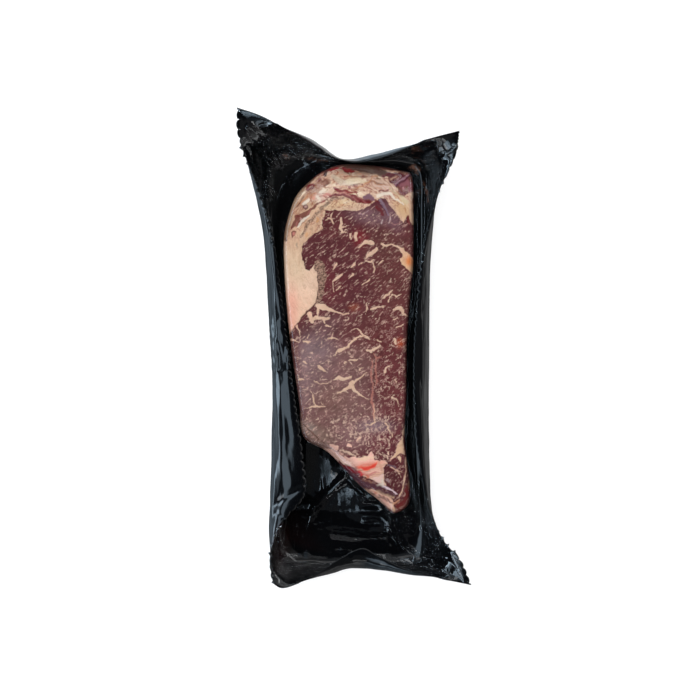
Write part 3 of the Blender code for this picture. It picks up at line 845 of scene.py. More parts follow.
# %% Marks on the left half of the fat end
LEFT_MARKS = [
    ([(333, 176), (340, 181), (350, 183)], (5, 7), (200, 180, 156), 0.6),
    ([(348, 181), (356, 180), (366, 180.5)], (5, 6, 3), (218, 196, 164), 0.7),
    ([(318, 181), (323, 184), (328, 181)], (6, 5), (162, 118, 98), 0.8),
    ([(318.8, 180.4), (320.2, 178.2)], 1.8, DEEP_RED, 0.8),
    ([(323, 181), (325.5, 179.6), (328.3, 182.4), (325.5, 185)], (1.6, 2.4, 1.4), (112, 62, 50), 0.85),
    ([(325.4, 170.6), (325, 173.8)], 3.4, (66, 44, 46), 0.9),
    ([(329.6, 170.2), (334, 168.6), (338.4, 167.6)], (2.6, 1.6), (142, 34, 42), 0.85),
    ([(342.5, 167.2), (348.5, 170.4), (353.5, 171.6)], (2, 4, 2), (112, 26, 30), 0.9),
    ([(307, 189), (308.7, 185.3), (314.9, 185.3)], (2.4, 2.2, 1.6), DEEP_RED, 0.9),
    ([(308.1, 189.6), (313.4, 186.9)], (2.2, 1.2), (96, 28, 32), 0.9),
    ([(300.2, 204), (301.4, 201), (306.4, 195.9), (309, 192.4)], (1.4, 1.6, 1), ORANGE, 0.8),
    ([(303.1, 200.4), (310.9, 194.8), (315.4, 191.4)], (1.2, 1.6, 1), ORANGE, 0.7),
    ([(313, 198.6), (316, 193)], (2.4, 1.6), (214, 140, 120), 0.7),
    # this mark and the next two are painted highlights: glints of the film on the fat
    ([(304, 204), (306, 201), (309, 199.4)], (4, 3), PAINTED_GLINT, 0.85),
    ([(316, 196), (319.4, 199)], 3, PAINTED_GLINT, 0.7),
    ([(319.6, 192), (323.3, 190.3)], 3.2, PAINTED_GLINT, 0.8),
    ([(305.3, 207.1), (305.4, 207.2)], 5.0, (92, 52, 50), 0.9),
    ([(305.5, 206.9), (305.6, 207)], 2.2, (192, 152, 142), 0.85),
    ([(300.4, 217.6), (301.4, 219), (300.2, 219.6)], (1.6, 1.2), (182, 122, 114), 0.8),
    ([(293.2, 234.4), (294.2, 233.8)], 2.4, (190, 122, 110), 0.85),
    ([(317.7, 218), (317.2, 221)], 3.0, (206, 150, 104), 0.7),
    ([(306.8, 233.4), (305.8, 236)], 2.6, (214, 160, 114), 0.7),
    # a painted highlight: a glint of the film on the fat
    ([(297.4, 226.6), (300, 223), (304, 219), (309, 215.6)], (1.6, 2.6, 1.6), PAINTED_GLINT, 0.8),
    ([(296.6, 243), (297, 246)], 2.4, (140, 124, 108), 0.6),
]
print(len(LEFT_MARKS), "marks on the left half")

# %% Marks in the middle of the fat end
MIDDLE_MARKS = [
    ([(323.4, 195.4), (327.4, 193.8), (332, 194.6)], (2, 4, 2), (190, 104, 94), 0.6),
    ([(334.5, 187.5), (339, 190.3), (344.6, 190.3), (350, 192.6)], (1.4, 2.8, 2, 1.4), (124, 46, 50), 0.9),
    ([(349.4, 187.6), (350.2, 187.4)], 2, (132, 60, 56), 0.8),
    (
        [(330, 195.9), (337.9, 194.8), (342.9, 193.7), (348, 196.5), (353, 199.6)],
        (2, 2.6, 3.2), (108, 44, 52), 0.9,
    ),
    ([(338, 192.6), (344, 192.2), (350, 195.4)], (0.8, 1.2, 0.8), (196, 134, 122), 0.8),
    ([(352, 195), (357, 198), (362, 200.6), (369, 201.6)], (2.6, 5, 4), (104, 34, 38), 0.9),
    ([(353, 197), (358, 200.4)], (1.0, 0.7), ROSE, 0.8),
    ([(357, 196.4), (364, 201), (366, 203)], (0.8, 1.2), (170, 100, 96), 0.7),
    ([(364.6, 197), (369, 195.6), (374, 198.6)], (3.4, 5, 3), (120, 82, 94), 0.95),
    ([(345, 190.8), (352, 191.4), (357.2, 192.2)], (2.2, 1.4), (140, 54, 50), 0.8),
    ([(346, 176.3), (351.6, 175.2), (357.2, 176.3)], 1.1, TAN, 0.8),
    (
        [(357.8, 186.9), (362.8, 185.8), (367.9, 181.9), (370.7, 178.5), (372.9, 175.7), (377.4, 175.2)],
        1.3, ORANGE, 0.85,
    ),
    (
        [(370.7, 179.1), (377.4, 183.6), (384.2, 184.7), (390.9, 185.3)],
        (1.0, 1.4, 1.0), (166, 110, 78), 0.8,
    ),
    ([(377, 177.6), (380.8, 178.6)], (2.6, 1.6), (124, 88, 64), 0.8),
    ([(379.4, 190.4), (380.6, 190.3)], 1.8, (122, 54, 46), 0.85),
    ([(383.4, 190.6), (385, 190.4)], 1.5, (122, 54, 46), 0.85),
    ([(387, 190.4), (387.8, 189.2)], 1.8, (122, 54, 46), 0.85),
    # a painted highlight: a long glint of the film on the fat
    (
        [(378, 195.4), (381.9, 193.7), (389.8, 193.1), (394.3, 198.2), (399.9, 201.5), (404.4, 204.9)],
        (3.6, 3, 1.4), PAINTED_GLINT, 0.8,
    ),
    ([(390, 188), (394, 191), (398, 194)], (2, 3, 2), (180, 152, 118), 0.6),
]
print(len(MIDDLE_MARKS), "marks in the middle")

# %% Marks at the right end of the fat
RIGHT_MARKS = [
    ([(401, 196), (404, 200), (407, 202)], (4, 5), (206, 186, 150), 0.7),
    ([(384, 174.6), (389, 173), (393, 176), (392, 181), (397, 182)], (3, 5, 5, 3), (88, 30, 38), 0.95),
    ([(395, 173.4), (402, 173.6), (405, 178), (400, 180.6)], (3, 6, 4), MAROON, 0.95),
    ([(399, 172.4), (405.5, 172.8)], 1.4, (132, 92, 78), 0.8),
    ([(391.6, 178.6), (396.5, 176.3)], (1.8, 1.2), (190, 148, 122), 0.85),
    ([(402, 184), (407, 181), (411, 184), (411, 190)], (6, 7, 4), (138, 78, 86), 0.85),
    ([(399.9, 191.5), (403, 193.6), (407.6, 191.6)], (3, 4, 2), (98, 34, 42), 0.9),
    ([(402.8, 187.2), (403.4, 187.6)], 4.2, (104, 42, 52), 0.9),
    ([(403, 187), (403.4, 188)], 1.8, (196, 138, 136), 0.85),
    # this mark and the next are painted shade and a painted highlight of a fold in the film: its dark side
    # and its pale side
    ([(396.4, 185.6), (402.6, 180.6), (411, 172.6)], (2.0, 2.4), (78, 28, 44), 0.9),
    ([(395.4, 184.4), (401.6, 179.2), (410, 171.4)], (1.2, 1.6, 1.2), (158, 110, 122), 0.85),
    ([(410.6, 192), (411.4, 204), (411, 216)], (2, 3, 2), (206, 164, 138), 0.7),
    ([(413.9, 188), (414.4, 200), (414, 214)], (1.4, 2, 1.4), (92, 30, 32), 0.85),
    ([(405.5, 207.6), (406.2, 212)], 1.5, (176, 120, 82), 0.7),
    ([(376.6, 206.8), (381, 211), (383, 214)], (3.4, 3), (104, 38, 40), 0.7),
    ([(380.8, 199.6), (385.3, 207.7), (388.6, 215)], (3.4, 2.6, 2), (132, 108, 120), 0.75),
    ([(377, 201.6), (382, 205.4), (386, 212)], (1.0, 1.4, 0.8), (74, 48, 60), 0.7),
    ([(359.5, 212.7), (363.4, 214.4), (368.4, 210.5)], 1.0, (178, 142, 144), 0.7),
    ([(381.9, 219.5), (380.8, 223.4)], 1.7, (194, 168, 164), 0.75),
    ([(390.3, 216.7), (390.9, 219.5), (388.6, 223.4)], 1.3, (196, 168, 162), 0.75),
    ([(390.9, 222.3), (394.3, 224.5), (398.7, 223.4), (401, 221.2)], 1.0, (178, 124, 118), 0.7),
]
print(len(RIGHT_MARKS), "marks at the right end")

# %% Marks at the tail
TAIL_MARKS = [
    ([(339.8, 452.5), (346.8, 458.4), (355.5, 468.2), (360.4, 473.6)], 0.9, (146, 84, 76), 0.75),
    ([(341, 450), (348, 452.6), (356, 457.4)], (1.6, 2.4, 1), (222, 188, 162), 0.7),
    ([(359.3, 459.8), (366, 458.6), (373.4, 457.9)], (3, 4, 2), (230, 192, 162), 0.7),
    (
        [(358.4, 467.6), (365.8, 469), (372.3, 467.2), (376.8, 462.8)],
        (3, 5.4, 4.4, 2), (236, 128, 104), 0.8,
    ),
    (
        [(360, 468.4), (365.8, 469.2), (372.3, 467.4), (375.8, 464.4)],
        (1.4, 3, 2.6, 1.2), (216, 50, 40), 0.95,
    ),
    ([(379, 462), (381.6, 467), (382, 471)], (2, 3.4, 2), (206, 148, 122), 0.6),
    ([(362.5, 473.6), (369, 474.7), (375, 472), (378.8, 472)], (0.9, 1.2, 0.8), (204, 116, 112), 0.85),
    ([(362.5, 475.4), (370.1, 476), (376.1, 473.3)], 0.8, (172, 86, 88), 0.75),
    ([(366.4, 477.4), (368.4, 477.2)], 2.4, (204, 96, 66), 0.8),
    ([(374.6, 479), (379, 480.6), (382, 476)], (4, 6, 4), (232, 192, 180), 0.7),
    ([(383.6, 480), (382.6, 486), (378.4, 484.8)], (2.4, 3.6, 2), (226, 204, 186), 0.8),
    ([(344.1, 465.5), (351.7, 470.4), (358, 474)], (2.2, 3.2, 2.2), (118, 12, 24), 0.9),
    ([(359.6, 473), (362, 475.6)], (2.0, 2.6), (196, 24, 32), 0.95),
    (
        [(347, 471.6), (356, 478.4), (364.7, 484), (376, 487.6), (384.2, 492.2), (394, 496.6)],
        (4, 6, 5, 3), (80, 44, 52), 0.85,
    ),
    ([(363.6, 479.4), (372.3, 483.2)], 0.8, (158, 106, 86), 0.7),
    ([(358, 482), (366, 485.6), (374, 488.6)], 0.8, (116, 74, 82), 0.7),
    # a painted highlight: a glint of the film along the tail strip
    ([(384.7, 486.6), (391.2, 490.4), (397.2, 495.3)], (1.2, 1.6, 0.9), (228, 200, 204), 0.85),
    ([(388, 480), (389, 481.4)], 3.2, (162, 134, 134), 0.7),
    ([(388, 465), (392, 466.4), (396, 467.2)], (2.4, 2), (122, 98, 106), 0.6),
    ([(376.1, 491.6), (385, 495), (394, 499)], (1.2, 2, 1.2), (196, 156, 126), 0.85),
    ([(378.8, 495.5), (388.5, 500.9), (392.3, 504)], (1.0, 1.8, 1.2), (94, 48, 54), 0.9),
    ([(374, 493.4), (376, 495)], 2.4, (202, 116, 90), 0.75),
    ([(381, 500), (387, 504), (392, 508.6)], (1.6, 2.2), (212, 150, 138), 0.7),
    ([(394, 504.6), (400.5, 501.6)], (2.4, 1.2), (190, 132, 102), 0.8),
    ([(397.4, 508), (403.6, 503.6), (406.4, 496), (408.4, 486)], (2.6, 4, 2.6), (104, 36, 36), 0.85),
    ([(393, 507), (394, 512)], (2.2, 1.6), (212, 168, 138), 0.8),
    ([(409.6, 482), (409.8, 488)], 1.8, (168, 124, 104), 0.7),
]
# the small marks include painted shade on the rim, and painted glints and a fold of the film
STREAKS = RIM_SHADE_MARKS + LEFT_MARKS + MIDDLE_MARKS + RIGHT_MARKS + TAIL_MARKS
print(len(STREAKS), "small marks in all")

# %% Painting the small marks
def painted(px, py, streaks):
    """The colour and the share of small marks laid over each other."""
    colour, share = np.tile(linear(*FAT), (len(px), 1)), np.zeros(len(px))
    for points, widths, tint, strength in streaks:
        depth = stroke(px, py, points, widths)
        over = ease(-0.6, 0.5, depth) * strength
        seen = ease(-2.0, -0.6, depth) * (1 - share)
        mix = np.maximum(seen, over / np.maximum(over + share * (1 - over), 1e-6))
        colour += mix[:, None] * (linear(*tint) - colour)
        share = over + share * (1 - over)
    return colour, share


print("the fat's ground as light:", linear(*FAT).round(3))

# %% [markdown]
# ## Fine marbling
#
# Between the veins the meat is full of short flecks of fat. They could come from a noise texture alone, but
# the real ones have ends, lean with the grain on the upper muscle and wander lower down. So each is a short
# bent stroke with its own strength, placed by seeded chance, and noise only adds the finest ones later.

# %% Fields of flecks
FLECK_FIELDS = [
    # x and y range, how many, angle and its spread in degrees, length range, width range
    ((304, 411), (212, 302), 230, (38, 18), (1.8, 6.5), (0.6, 1.2)),
    ((304, 411), (205, 300), 90, (60, 90), (0.6, 1.8), (0.8, 1.4)),
    ((294, 408), (300, 352), 130, (36, 40), (1.8, 5.5), (0.6, 1.2)),
    ((286, 375), (352, 440), 260, (30, 110), (1.4, 5.5), (0.7, 1.3)),
    ((374, 411), (345, 455), 220, (60, 110), (1.2, 5.0), (0.7, 1.4)),
    ((330, 392), (416, 462), 240, (50, 110), (1.4, 5.0), (0.8, 1.6)),
    ((384, 405), (462, 498), 14, (60, 60), (1.4, 4.0), (0.6, 1.1)),
]


def flecks(px, py, seed):
    """How far inside a fleck each place is, and how bright that fleck is."""
    chance = np.random.default_rng(seed)
    depth, strength = np.full(px.shape, FAR), np.zeros(px.shape)
    for xs, ys, count, (angle, spread), lengths, widths in FLECK_FIELDS:
        for _ in range(count):
            x, y = chance.uniform(*xs), chance.uniform(*ys)
            way = np.radians(angle + chance.normal(0, spread / 2))
            length, bend, width = chance.uniform(*lengths), chance.normal(0, 0.6), chance.uniform(*widths)
            points = [
                (x + t * length * np.cos(way + bend * t), y - t * length * np.sin(way + bend * t))
                for t in (-0.5, -0.15, 0.2, 0.5)
            ]
            bright = chance.uniform(0.3, 1.0)
            here = near(px, py, points, 2.0)
            inside = stroke(px[here], py[here], points, (0.3, width, width * 0.8, 0.3))
            strength[here] = np.where(inside > depth[here], bright, strength[here])
            depth[here] = np.maximum(depth[here], inside)
    return depth, strength


print("fields with", sum(field[2] for field in FLECK_FIELDS), "flecks")

# %% Where the steak's points lie in the picture
steak_px, steak_py = to_pixels(steak_places[:, 0], steak_places[:, 1])


def wander(seed):
    """How far, in pixels, the drawn edges wander, so that no line is as smooth as a brush's."""
    wide = 1.1 * rough_noise(steak_px / 5, steak_py / 5, seed)
    return wide + 0.5 * noise(steak_px / 1.8, steak_py / 1.8, seed + 4)


wander_x, wander_y = steak_px + wander(21), steak_py + wander(31)
print("edges wander by up to", round(float(np.abs(wander_x - steak_px).max()), 1), "px")

# %% What each point of the steak is
fat_areas = deepest_patch(wander_x, wander_y, FAT_PATCHES)
fat_depth = np.maximum(fat_areas, deepest(wander_x, wander_y, FAT_STROKES))
red_areas = deepest_patch(wander_x, wander_y, RED_PATCHES)
red_depth = np.maximum(red_areas, deepest(wander_x, wander_y, RED_STROKES))
grey_depth = np.maximum(deepest(wander_x, wander_y, GREY_STROKES), patch(wander_x, wander_y, GRISTLE))
seam_depth = deepest(wander_x, wander_y, SEAM_STROKES)
dark_depth = deepest(wander_x, wander_y, DARK_LINES_AND_SHADE)
fleck_depth, fleck_strength = flecks(wander_x, wander_y, 4)
print("fat covers", round(float((fat_depth > 0).mean()), 2), "of the steak's points")

# %% [markdown]
# ## Shaders written as plain maths
#
# A shader is a net of nodes, and a net written node by node is hard to read. A small class wraps the output
# of a node, so that a sum in Python adds the nodes that work it out. The rest of the helpers make a
# material, fill the inputs of its main shader and turn a sheet into an object of the scene.

# %% Wires
class Wire:
    """One output of a shader node. Plain maths on wires adds the nodes that do it."""

    def __init__(self, tree, socket=None):
        self.tree, self.socket = tree, socket

    def node(self, kind, settings, inputs, output=0):
        """The output of any new node: its settings are set first, then its inputs."""
        made = self.tree.nodes.new(kind)
        for name, value in settings.items():
            setattr(made, name, value)
        for key, value in inputs.items():
            if isinstance(value, Wire):
                self.tree.links.new(value.socket, made.inputs[key])
            else:
                made.inputs[key].default_value = value
        return Wire(self.tree, made.outputs[output])

    def maths(self, operation, *values):
        """The output of a Math node."""
        return self.node("ShaderNodeMath", {"operation": operation}, dict(enumerate(values)))

    def __add__(self, other):
        return self.maths("ADD", self, other)

    __radd__ = __add__

    def __sub__(self, other):
        return self.maths("SUBTRACT", self, other)

    def __rsub__(self, other):
        return self.maths("SUBTRACT", other, self)

    def __mul__(self, other):
        return self.maths("MULTIPLY", self, other)

    __rmul__ = __mul__

    def step(self, low, high, start=0.0, end=1.0):
        """A smooth step from start at low to end at high."""
        inputs = {0: self, 1: low, 2: high, 3: start, 4: end}
        return self.node("ShaderNodeMapRange", {"interpolation_type": "SMOOTHSTEP"}, inputs)

    def to_colour(self, other, share):
        """This colour turning into another one."""
        other = other if isinstance(other, Wire) else (*other, 1.0)
        return self.node("ShaderNodeMix", {"data_type": "RGBA"}, {0: share, 6: self, 7: other}, 2)

    def lit(self, share):
        """This colour, lighter or darker."""
        return self.node("ShaderNodeVectorMath", {"operation": "SCALE"}, {0: self, "Scale": share})

    def attribute(self, name, output="Fac"):
        """What is stored on the piece's points under this name."""
        return self.node("ShaderNodeAttribute", {"attribute_name": name}, {}, output)

    def near_middle(self, outer, inner, end=1.0):
        """Thin lines, up to end strong, where this noise crosses its middle value."""
        return self.maths("ABSOLUTE", self - 0.5).step(outer, inner, 0.0, end)

    def flat_colour(self, colour):
        """A colour, given as light."""
        made = self.node("ShaderNodeRGB", {}, {})
        made.socket.default_value = (*colour, 1)
        return made

    def grain(self, scale, detail=3.0, roughness=0.55, long=1.0, along=0.0, distortion=0.0, place=None):
        """Noise from 0 to 1: so many hills per metre, drawn out long times at an angle in degrees."""
        place = place or self.node("ShaderNodeTexCoord", {}, {}, "Object")
        place = self.node("ShaderNodeMapping", {}, {"Vector": place, "Rotation": (0, 0, np.radians(-along))})
        place = self.node("ShaderNodeVectorMath", {"operation": "MULTIPLY"}, {0: place, 1: (1 / long, 1, 1)})
        look = {"Scale": scale, "Detail": detail, "Roughness": roughness, "Distortion": distortion}
        return self.node("ShaderNodeTexNoise", {}, {"Vector": place, **look})

    def bump(self, height, distance, strength=1.0):
        """A bumpy surface. Distance is the height in metres that a value of 1 stands for."""
        inputs = {"Height": height, "Distance": distance, "Strength": strength}
        return self.node("ShaderNodeBump", {}, inputs, "Normal")


print("a wire can", ", ".join(sorted(name for name in vars(Wire) if not name.startswith("_"))))

# %% Materials
def new_material(name):
    """A material, its main shader and the wire that its nodes start from."""
    material = bpy.data.materials.new(name)
    material.use_nodes = True
    shader = material.node_tree.nodes["Principled BSDF"]
    return material, shader, Wire(material.node_tree)


def plug(shader, **inputs):
    """Set or link a shader's inputs. An underscore in a name stands for a space."""
    for name, value in inputs.items():
        socket = shader.inputs[name.replace("_", " ")]
        if isinstance(value, Wire):
            value.tree.links.new(value.socket, socket)
        else:
            socket.default_value = value


print("materials so far:", len(bpy.data.materials))

# %% Pieces
def new_piece(name, sheet, material, node, paints):
    """An object of the scene that stands for a node of the packed part."""
    mesh = bpy.data.meshes.new(name)
    sheet.to_mesh(mesh)
    sheet.free()
    for paint, values in paints.items():
        flat = values.ndim == 1
        layer = mesh.attributes.new(paint, "FLOAT" if flat else "FLOAT_COLOR", "POINT")
        if not flat:
            values = np.column_stack([values, np.ones(len(values))])
        layer.data.foreach_set("value" if flat else "color", values.astype(np.float32).ravel())
    mesh.materials.append(material)
    mesh.shade_smooth()
    piece = bpy.data.objects.new(name, mesh)
    bpy.context.scene.collection.objects.link(piece)
    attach(piece, "root")
    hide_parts(node)
    return piece


# %% [markdown]
# ## The finish of the meat
#
# Each point of the steak now knows how deep it lies in fat, red meat, gristle or a seam, and its tints. A
# finer mesh could carry the edges too, but it would be far too heavy. So the shader sharpens them: it adds
# fine noise to the depth before it decides, and it adds what is finer than the mesh, such as fibres,
# threads and specks. Wet meat under film has hardly any shine of its own, because the film has it.

# %% Tints for each point, and the raised fat
# the arcs in which the fat runs round the end of the steak: their middle, squash and reach in pixels
ARC_MIDDLE, ARC_SQUASH, ARC_REACH = (352, 252), 0.85, 62
FAT_RISE, RED_DIP = 0.16, 0.12
strip_share = ease(-0.7, 0.5, patch(wander_x, wander_y, DARK_STRIP))
lean_and_haze_colour = tinted(steak_px, steak_py, LEAN, LEAN_AND_HAZE_TINTS)
lean_and_haze_colour += strip_share[:, None] * (linear(*STRIP_COLOUR) - lean_and_haze_colour)
fat_and_shade_colour = tinted(steak_px, steak_py, FAT, FAT_AND_SHADE_TINTS)
streak_colour, streak_share = painted(wander_x, wander_y, STREAKS)
arc_x, arc_y = steak_px - ARC_MIDDLE[0], ARC_SQUASH * (ARC_MIDDLE[1] - steak_py)
arc_along, arc_away = ARC_REACH * np.arctan2(arc_x, arc_y), np.hypot(arc_x, arc_y)
arc_places = PIXEL * MM * np.column_stack([arc_along, arc_away, 0 * arc_x])
side_depth = steak_top(steak_places[:, 0], steak_places[:, 1]) - steak_places[:, 2]
raised = FAT_RISE * ease(-1, 1, fat_depth) - RED_DIP * ease(-1, 0.5, red_depth)
steak_places[:, 2] += np.where(side_depth < 1, raised, 0)
shape_to(steak_sheet, steak_places)
bmesh.ops.recalc_face_normals(steak_sheet, faces=steak_sheet.faces)
print("small marks cover", round(float((streak_share > 0.5).mean()), 3), "of the steak's points")

# %% Lean meat
MUSCLE_GRAIN = 38
LINE_FAT, DASH_FAT, FLECK_FAT = (192, 148, 136), (200, 158, 142), (216, 180, 158)
meat, shader, wire = new_material("raw_beef")
fibres = wire.grain(1300, 3, 0.62, 5.0, MUSCLE_GRAIN)
specks = wire.grain(1900, 2, 0.6)
clouds = wire.grain(150, 5, 0.66, 1.6, MUSCLE_GRAIN)
edge = (specks - 0.5) * 1.5
# thin broken lines of fat, only in patches: with the grain above, and wandering where the meat is low
grained = wire.grain(420, 3, 0.6, 3.5, MUSCLE_GRAIN, 0.4)
wormy = wire.grain(430, 3, 0.62, 1.3, MUSCLE_GRAIN, 1.0)
dashes = wire.grain(900, 2, 0.5, 3.2, MUSCLE_GRAIN)
patches = wire.grain(230, 3, 0.6, 1.4, MUSCLE_GRAIN)
low = wire.attribute("low")
lines = grained.near_middle(0.020, 0.004) * (1 - low)
lines = lines + wormy.near_middle(0.030, 0.008, 2.0) * low
lines = lines * patches.step(0.46, 0.60)
# the tints of the lean include painted haze of the film's glare
lean = wire.attribute("lean_and_haze_tint", "Color").lit(0.02 + 0.92 * fibres + 0.94 * clouds)
lean = lean.to_colour(linear(*LINE_FAT), lines * 0.45)
lean = lean.to_colour(linear(*DASH_FAT), dashes.step(0.61, 0.69) * 0.6)
fleck = (wire.attribute("fleck") + edge).step(-0.35, 0.5)
lean = lean.to_colour(linear(*FLECK_FAT), fleck * wire.attribute("fleck_strength"))
print("nodes for the lean meat:", len(meat.node_tree.nodes))

# %% Fat
PALE_BAND, BROWN_BLOT, TAN_THREAD, RED_VEIN = (232, 212, 184), (158, 112, 82), (196, 132, 96), (140, 66, 54)
arcs = wire.attribute("arc", "Vector")
bands = wire.grain(260, 4, 0.62, 3.0, 0, 0.5, arcs)
threads = wire.grain(520, 3, 0.6, 4.0, 0, 0.6, arcs)
veins = wire.grain(190, 4, 0.62, 2.2, 0, 1.0, arcs)
blots = wire.grain(240, 4, 0.68, 1.6, 0, 0.4, arcs)
veined = wire.attribute("veined")
# the tints of the fat include painted shade along its rim
fat = wire.attribute("fat_and_shade_tint", "Color").lit(0.72 + 0.30 * clouds + 0.22 * specks)
fat = fat.to_colour(linear(*PALE_BAND), bands.step(0.52, 0.64, 0.0, 0.7) * veined)
fat = fat.to_colour(linear(*BROWN_BLOT), blots.step(0.52, 0.66, 0.0, 0.75) * veined)
fat = fat.to_colour(linear(*TAN_THREAD), threads.step(0.55, 0.68, 0.0, 0.7) * veined)
fat = fat.to_colour(linear(*RED_VEIN), veins.near_middle(0.030, 0.004, 0.85) * veined)
is_fat = (wire.attribute("fat") + edge).step(-0.35, 0.4)
colour = lean.to_colour(fat, is_fat)
print("nodes with the fat:", len(meat.node_tree.nodes))

# %% Seams, gristle, red meat and small marks
PINK_THREAD = (176, 112, 104)
seam = (wire.attribute("seam") + edge * 1.6).step(-0.4, 0.4)
colour = colour.to_colour(linear(*SEAM_COLOUR), seam * 0.7)
mottled = wire.grain(1100, 2, 0.7, 1.5, 20)
speckled = wire.flat_colour(linear(*GRISTLE_COLOUR)).lit(mottled.step(0.38, 0.62, 0.35, 1.5))
colour = colour.to_colour(speckled, (wire.attribute("gristle") + edge * 1.8).step(-0.6, 0.7) * 0.8)
red = colour.to_colour(linear(*RED_COLOUR), 0.85).lit(0.35 + 0.8 * fibres + 0.6 * threads)
red = red.to_colour(linear(*PINK_THREAD), threads.step(0.56, 0.66, 0.0, 0.55))
colour = colour.to_colour(red, (wire.attribute("red") + edge * 1.2 + (threads - 0.5) * 4.0).step(-0.5, 0.5))
# the dark lines include painted shadow in a crease at the top of the fat
colour = colour.to_colour(linear(*DARK_COLOUR), (wire.attribute("dark") + edge).step(-0.5, 0.4) * 0.7)
# the small marks include painted shade on the rim, and painted glints and a fold of the film
streak = wire.attribute("streak_tint", "Color").lit(0.75 + 0.3 * specks + 0.2 * threads)
colour = colour.to_colour(streak, (wire.attribute("streak") + edge * 0.2).step(0.1, 0.9) * 0.92)
relief = fibres * 0.6 + specks * 0.4 + is_fat * 0.5
plug(
    shader, Base_Color=colour, Roughness=is_fat.step(0, 1, 0.44, 0.5), Specular_IOR_Level=0.06,
    Normal=wire.bump(relief, 0.00012, 0.7),
)
print("nodes in all:", len(meat.node_tree.nodes))

# %% The steak's piece
# a shader needs no depth beyond this many pixels
DEEP = 3
depths = {
    "fat": fat_depth, "red": red_depth, "gristle": grey_depth, "seam": seam_depth, "dark": dark_depth,
    "fleck": fleck_depth,
}
# how strongly the fat is veined: all of it at the fat end, less at its left side and at the tail
veined = np.maximum.reduce([
    ease(218, 200, steak_py), 0.7 * ease(250, 225, steak_py) * ease(335, 320, steak_px),
    0.5 * ease(455, 470, steak_py), np.full(steak_py.shape, 0.22),
])
steak = new_piece("steak_meat", steak_sheet, meat, "steak", {
    **{name: np.clip(depth, -DEEP, DEEP) for name, depth in depths.items()},
    "fleck_strength": fleck_strength, "low": ease(310, 350, steak_py + 0.35 * (steak_px - 350)),
    "veined": veined, "lean_and_haze_tint": lean_and_haze_colour, "fat_and_shade_tint": fat_and_shade_colour, "arc": arc_places,
    "streak": streak_share, "streak_tint": streak_colour,
})
# the films in the photo don't mirror the meat
steak.visible_glossy = False
print("steak mesh:", len(steak.data.polygons), "faces")

# %% [markdown]
# ## How the films run
#
# The wall swells from its foot to the belly and curls in to the cut edge, so it is a curve that bends both
# ways at every turn. The clear film lies inside it, bridges the gap round the steak and closes over the
# meat. Loops joined by bridging would give the same forms, but here every point keeps its ring and turn,
# which the scallops and the wrinkles need.

# %% The wall
FILM_FLOOR, LINING, FACE_LIFT = 1.0, 0.95, 0.5
BRIDGE_RISE, BRIDGE_WIDTH = 7.0, 5.0


def wall(turn, rise):
    """The black film's outer face, from the foot at rise 0 to the cut edge at rise 1."""
    start, wide, end = foot.at(turn), belly.at(turn), cut_edge.at(turn)
    swell = (8 * wide - start - end) / 6
    swell_low, swell_high = swell.copy(), swell.copy()
    swell_low[:, 2], swell_high[:, 2] = 0.0, end[:, 2]
    rise = rise[:, None]
    fall = 1 - rise
    return fall**3 * start + 3 * fall**2 * rise * swell_low + 3 * fall * rise**2 * swell_high + rise**3 * end


def crevice_height(turn):
    """How high the clear film bridges the gap round the steak: on the table where that is wide."""
    width = np.linalg.norm(foot.at(turn) - steak_line.at(turn), axis=1)
    return FILM_FLOOR + BRIDGE_RISE * np.exp(-((width / BRIDGE_WIDTH) ** 2))


def wall_rise(turn, ring):
    """The rise of a ring of the sheet."""
    heights = np.linspace(0.0, 1.0, 101)
    share = (crevice_height(turn) + 1.0) / cut_edge.at(turn)[:, 2]
    lowest = np.interp(share, ease(0.0, 1.0, heights), heights)
    upper = 1 - (1 - lowest) * ring / WALL_RINGS
    return np.where(ring <= WALL_RINGS, upper, lowest * (FOOT_RING - ring) / (FOOT_RING - WALL_RINGS))


print("a corner's cut edge is", round(float(cut_edge.at(np.zeros(1))[0, 2]), 1), "mm high")

# %% Scallops of the long cut edges
# how deep they are, and how far apart in the middle of the pack and at its ends, in mm
SCALLOP_DEPTH, SCALLOP_PITCH = 1.7, (4.1, 5.8)
# the length in mm of one unit of the sheet along the cut edge
EDGE_LENGTH = 6.9
# how many units of the sheet the small teeth take up, and how many there are to a unit
TEETH_UNITS, TEETH_TO_A_UNIT = 1.4, 3.6


def unit(vectors):
    """The same directions, one long."""
    return vectors / np.maximum(np.linalg.norm(vectors, axis=1, keepdims=True), 1e-9)


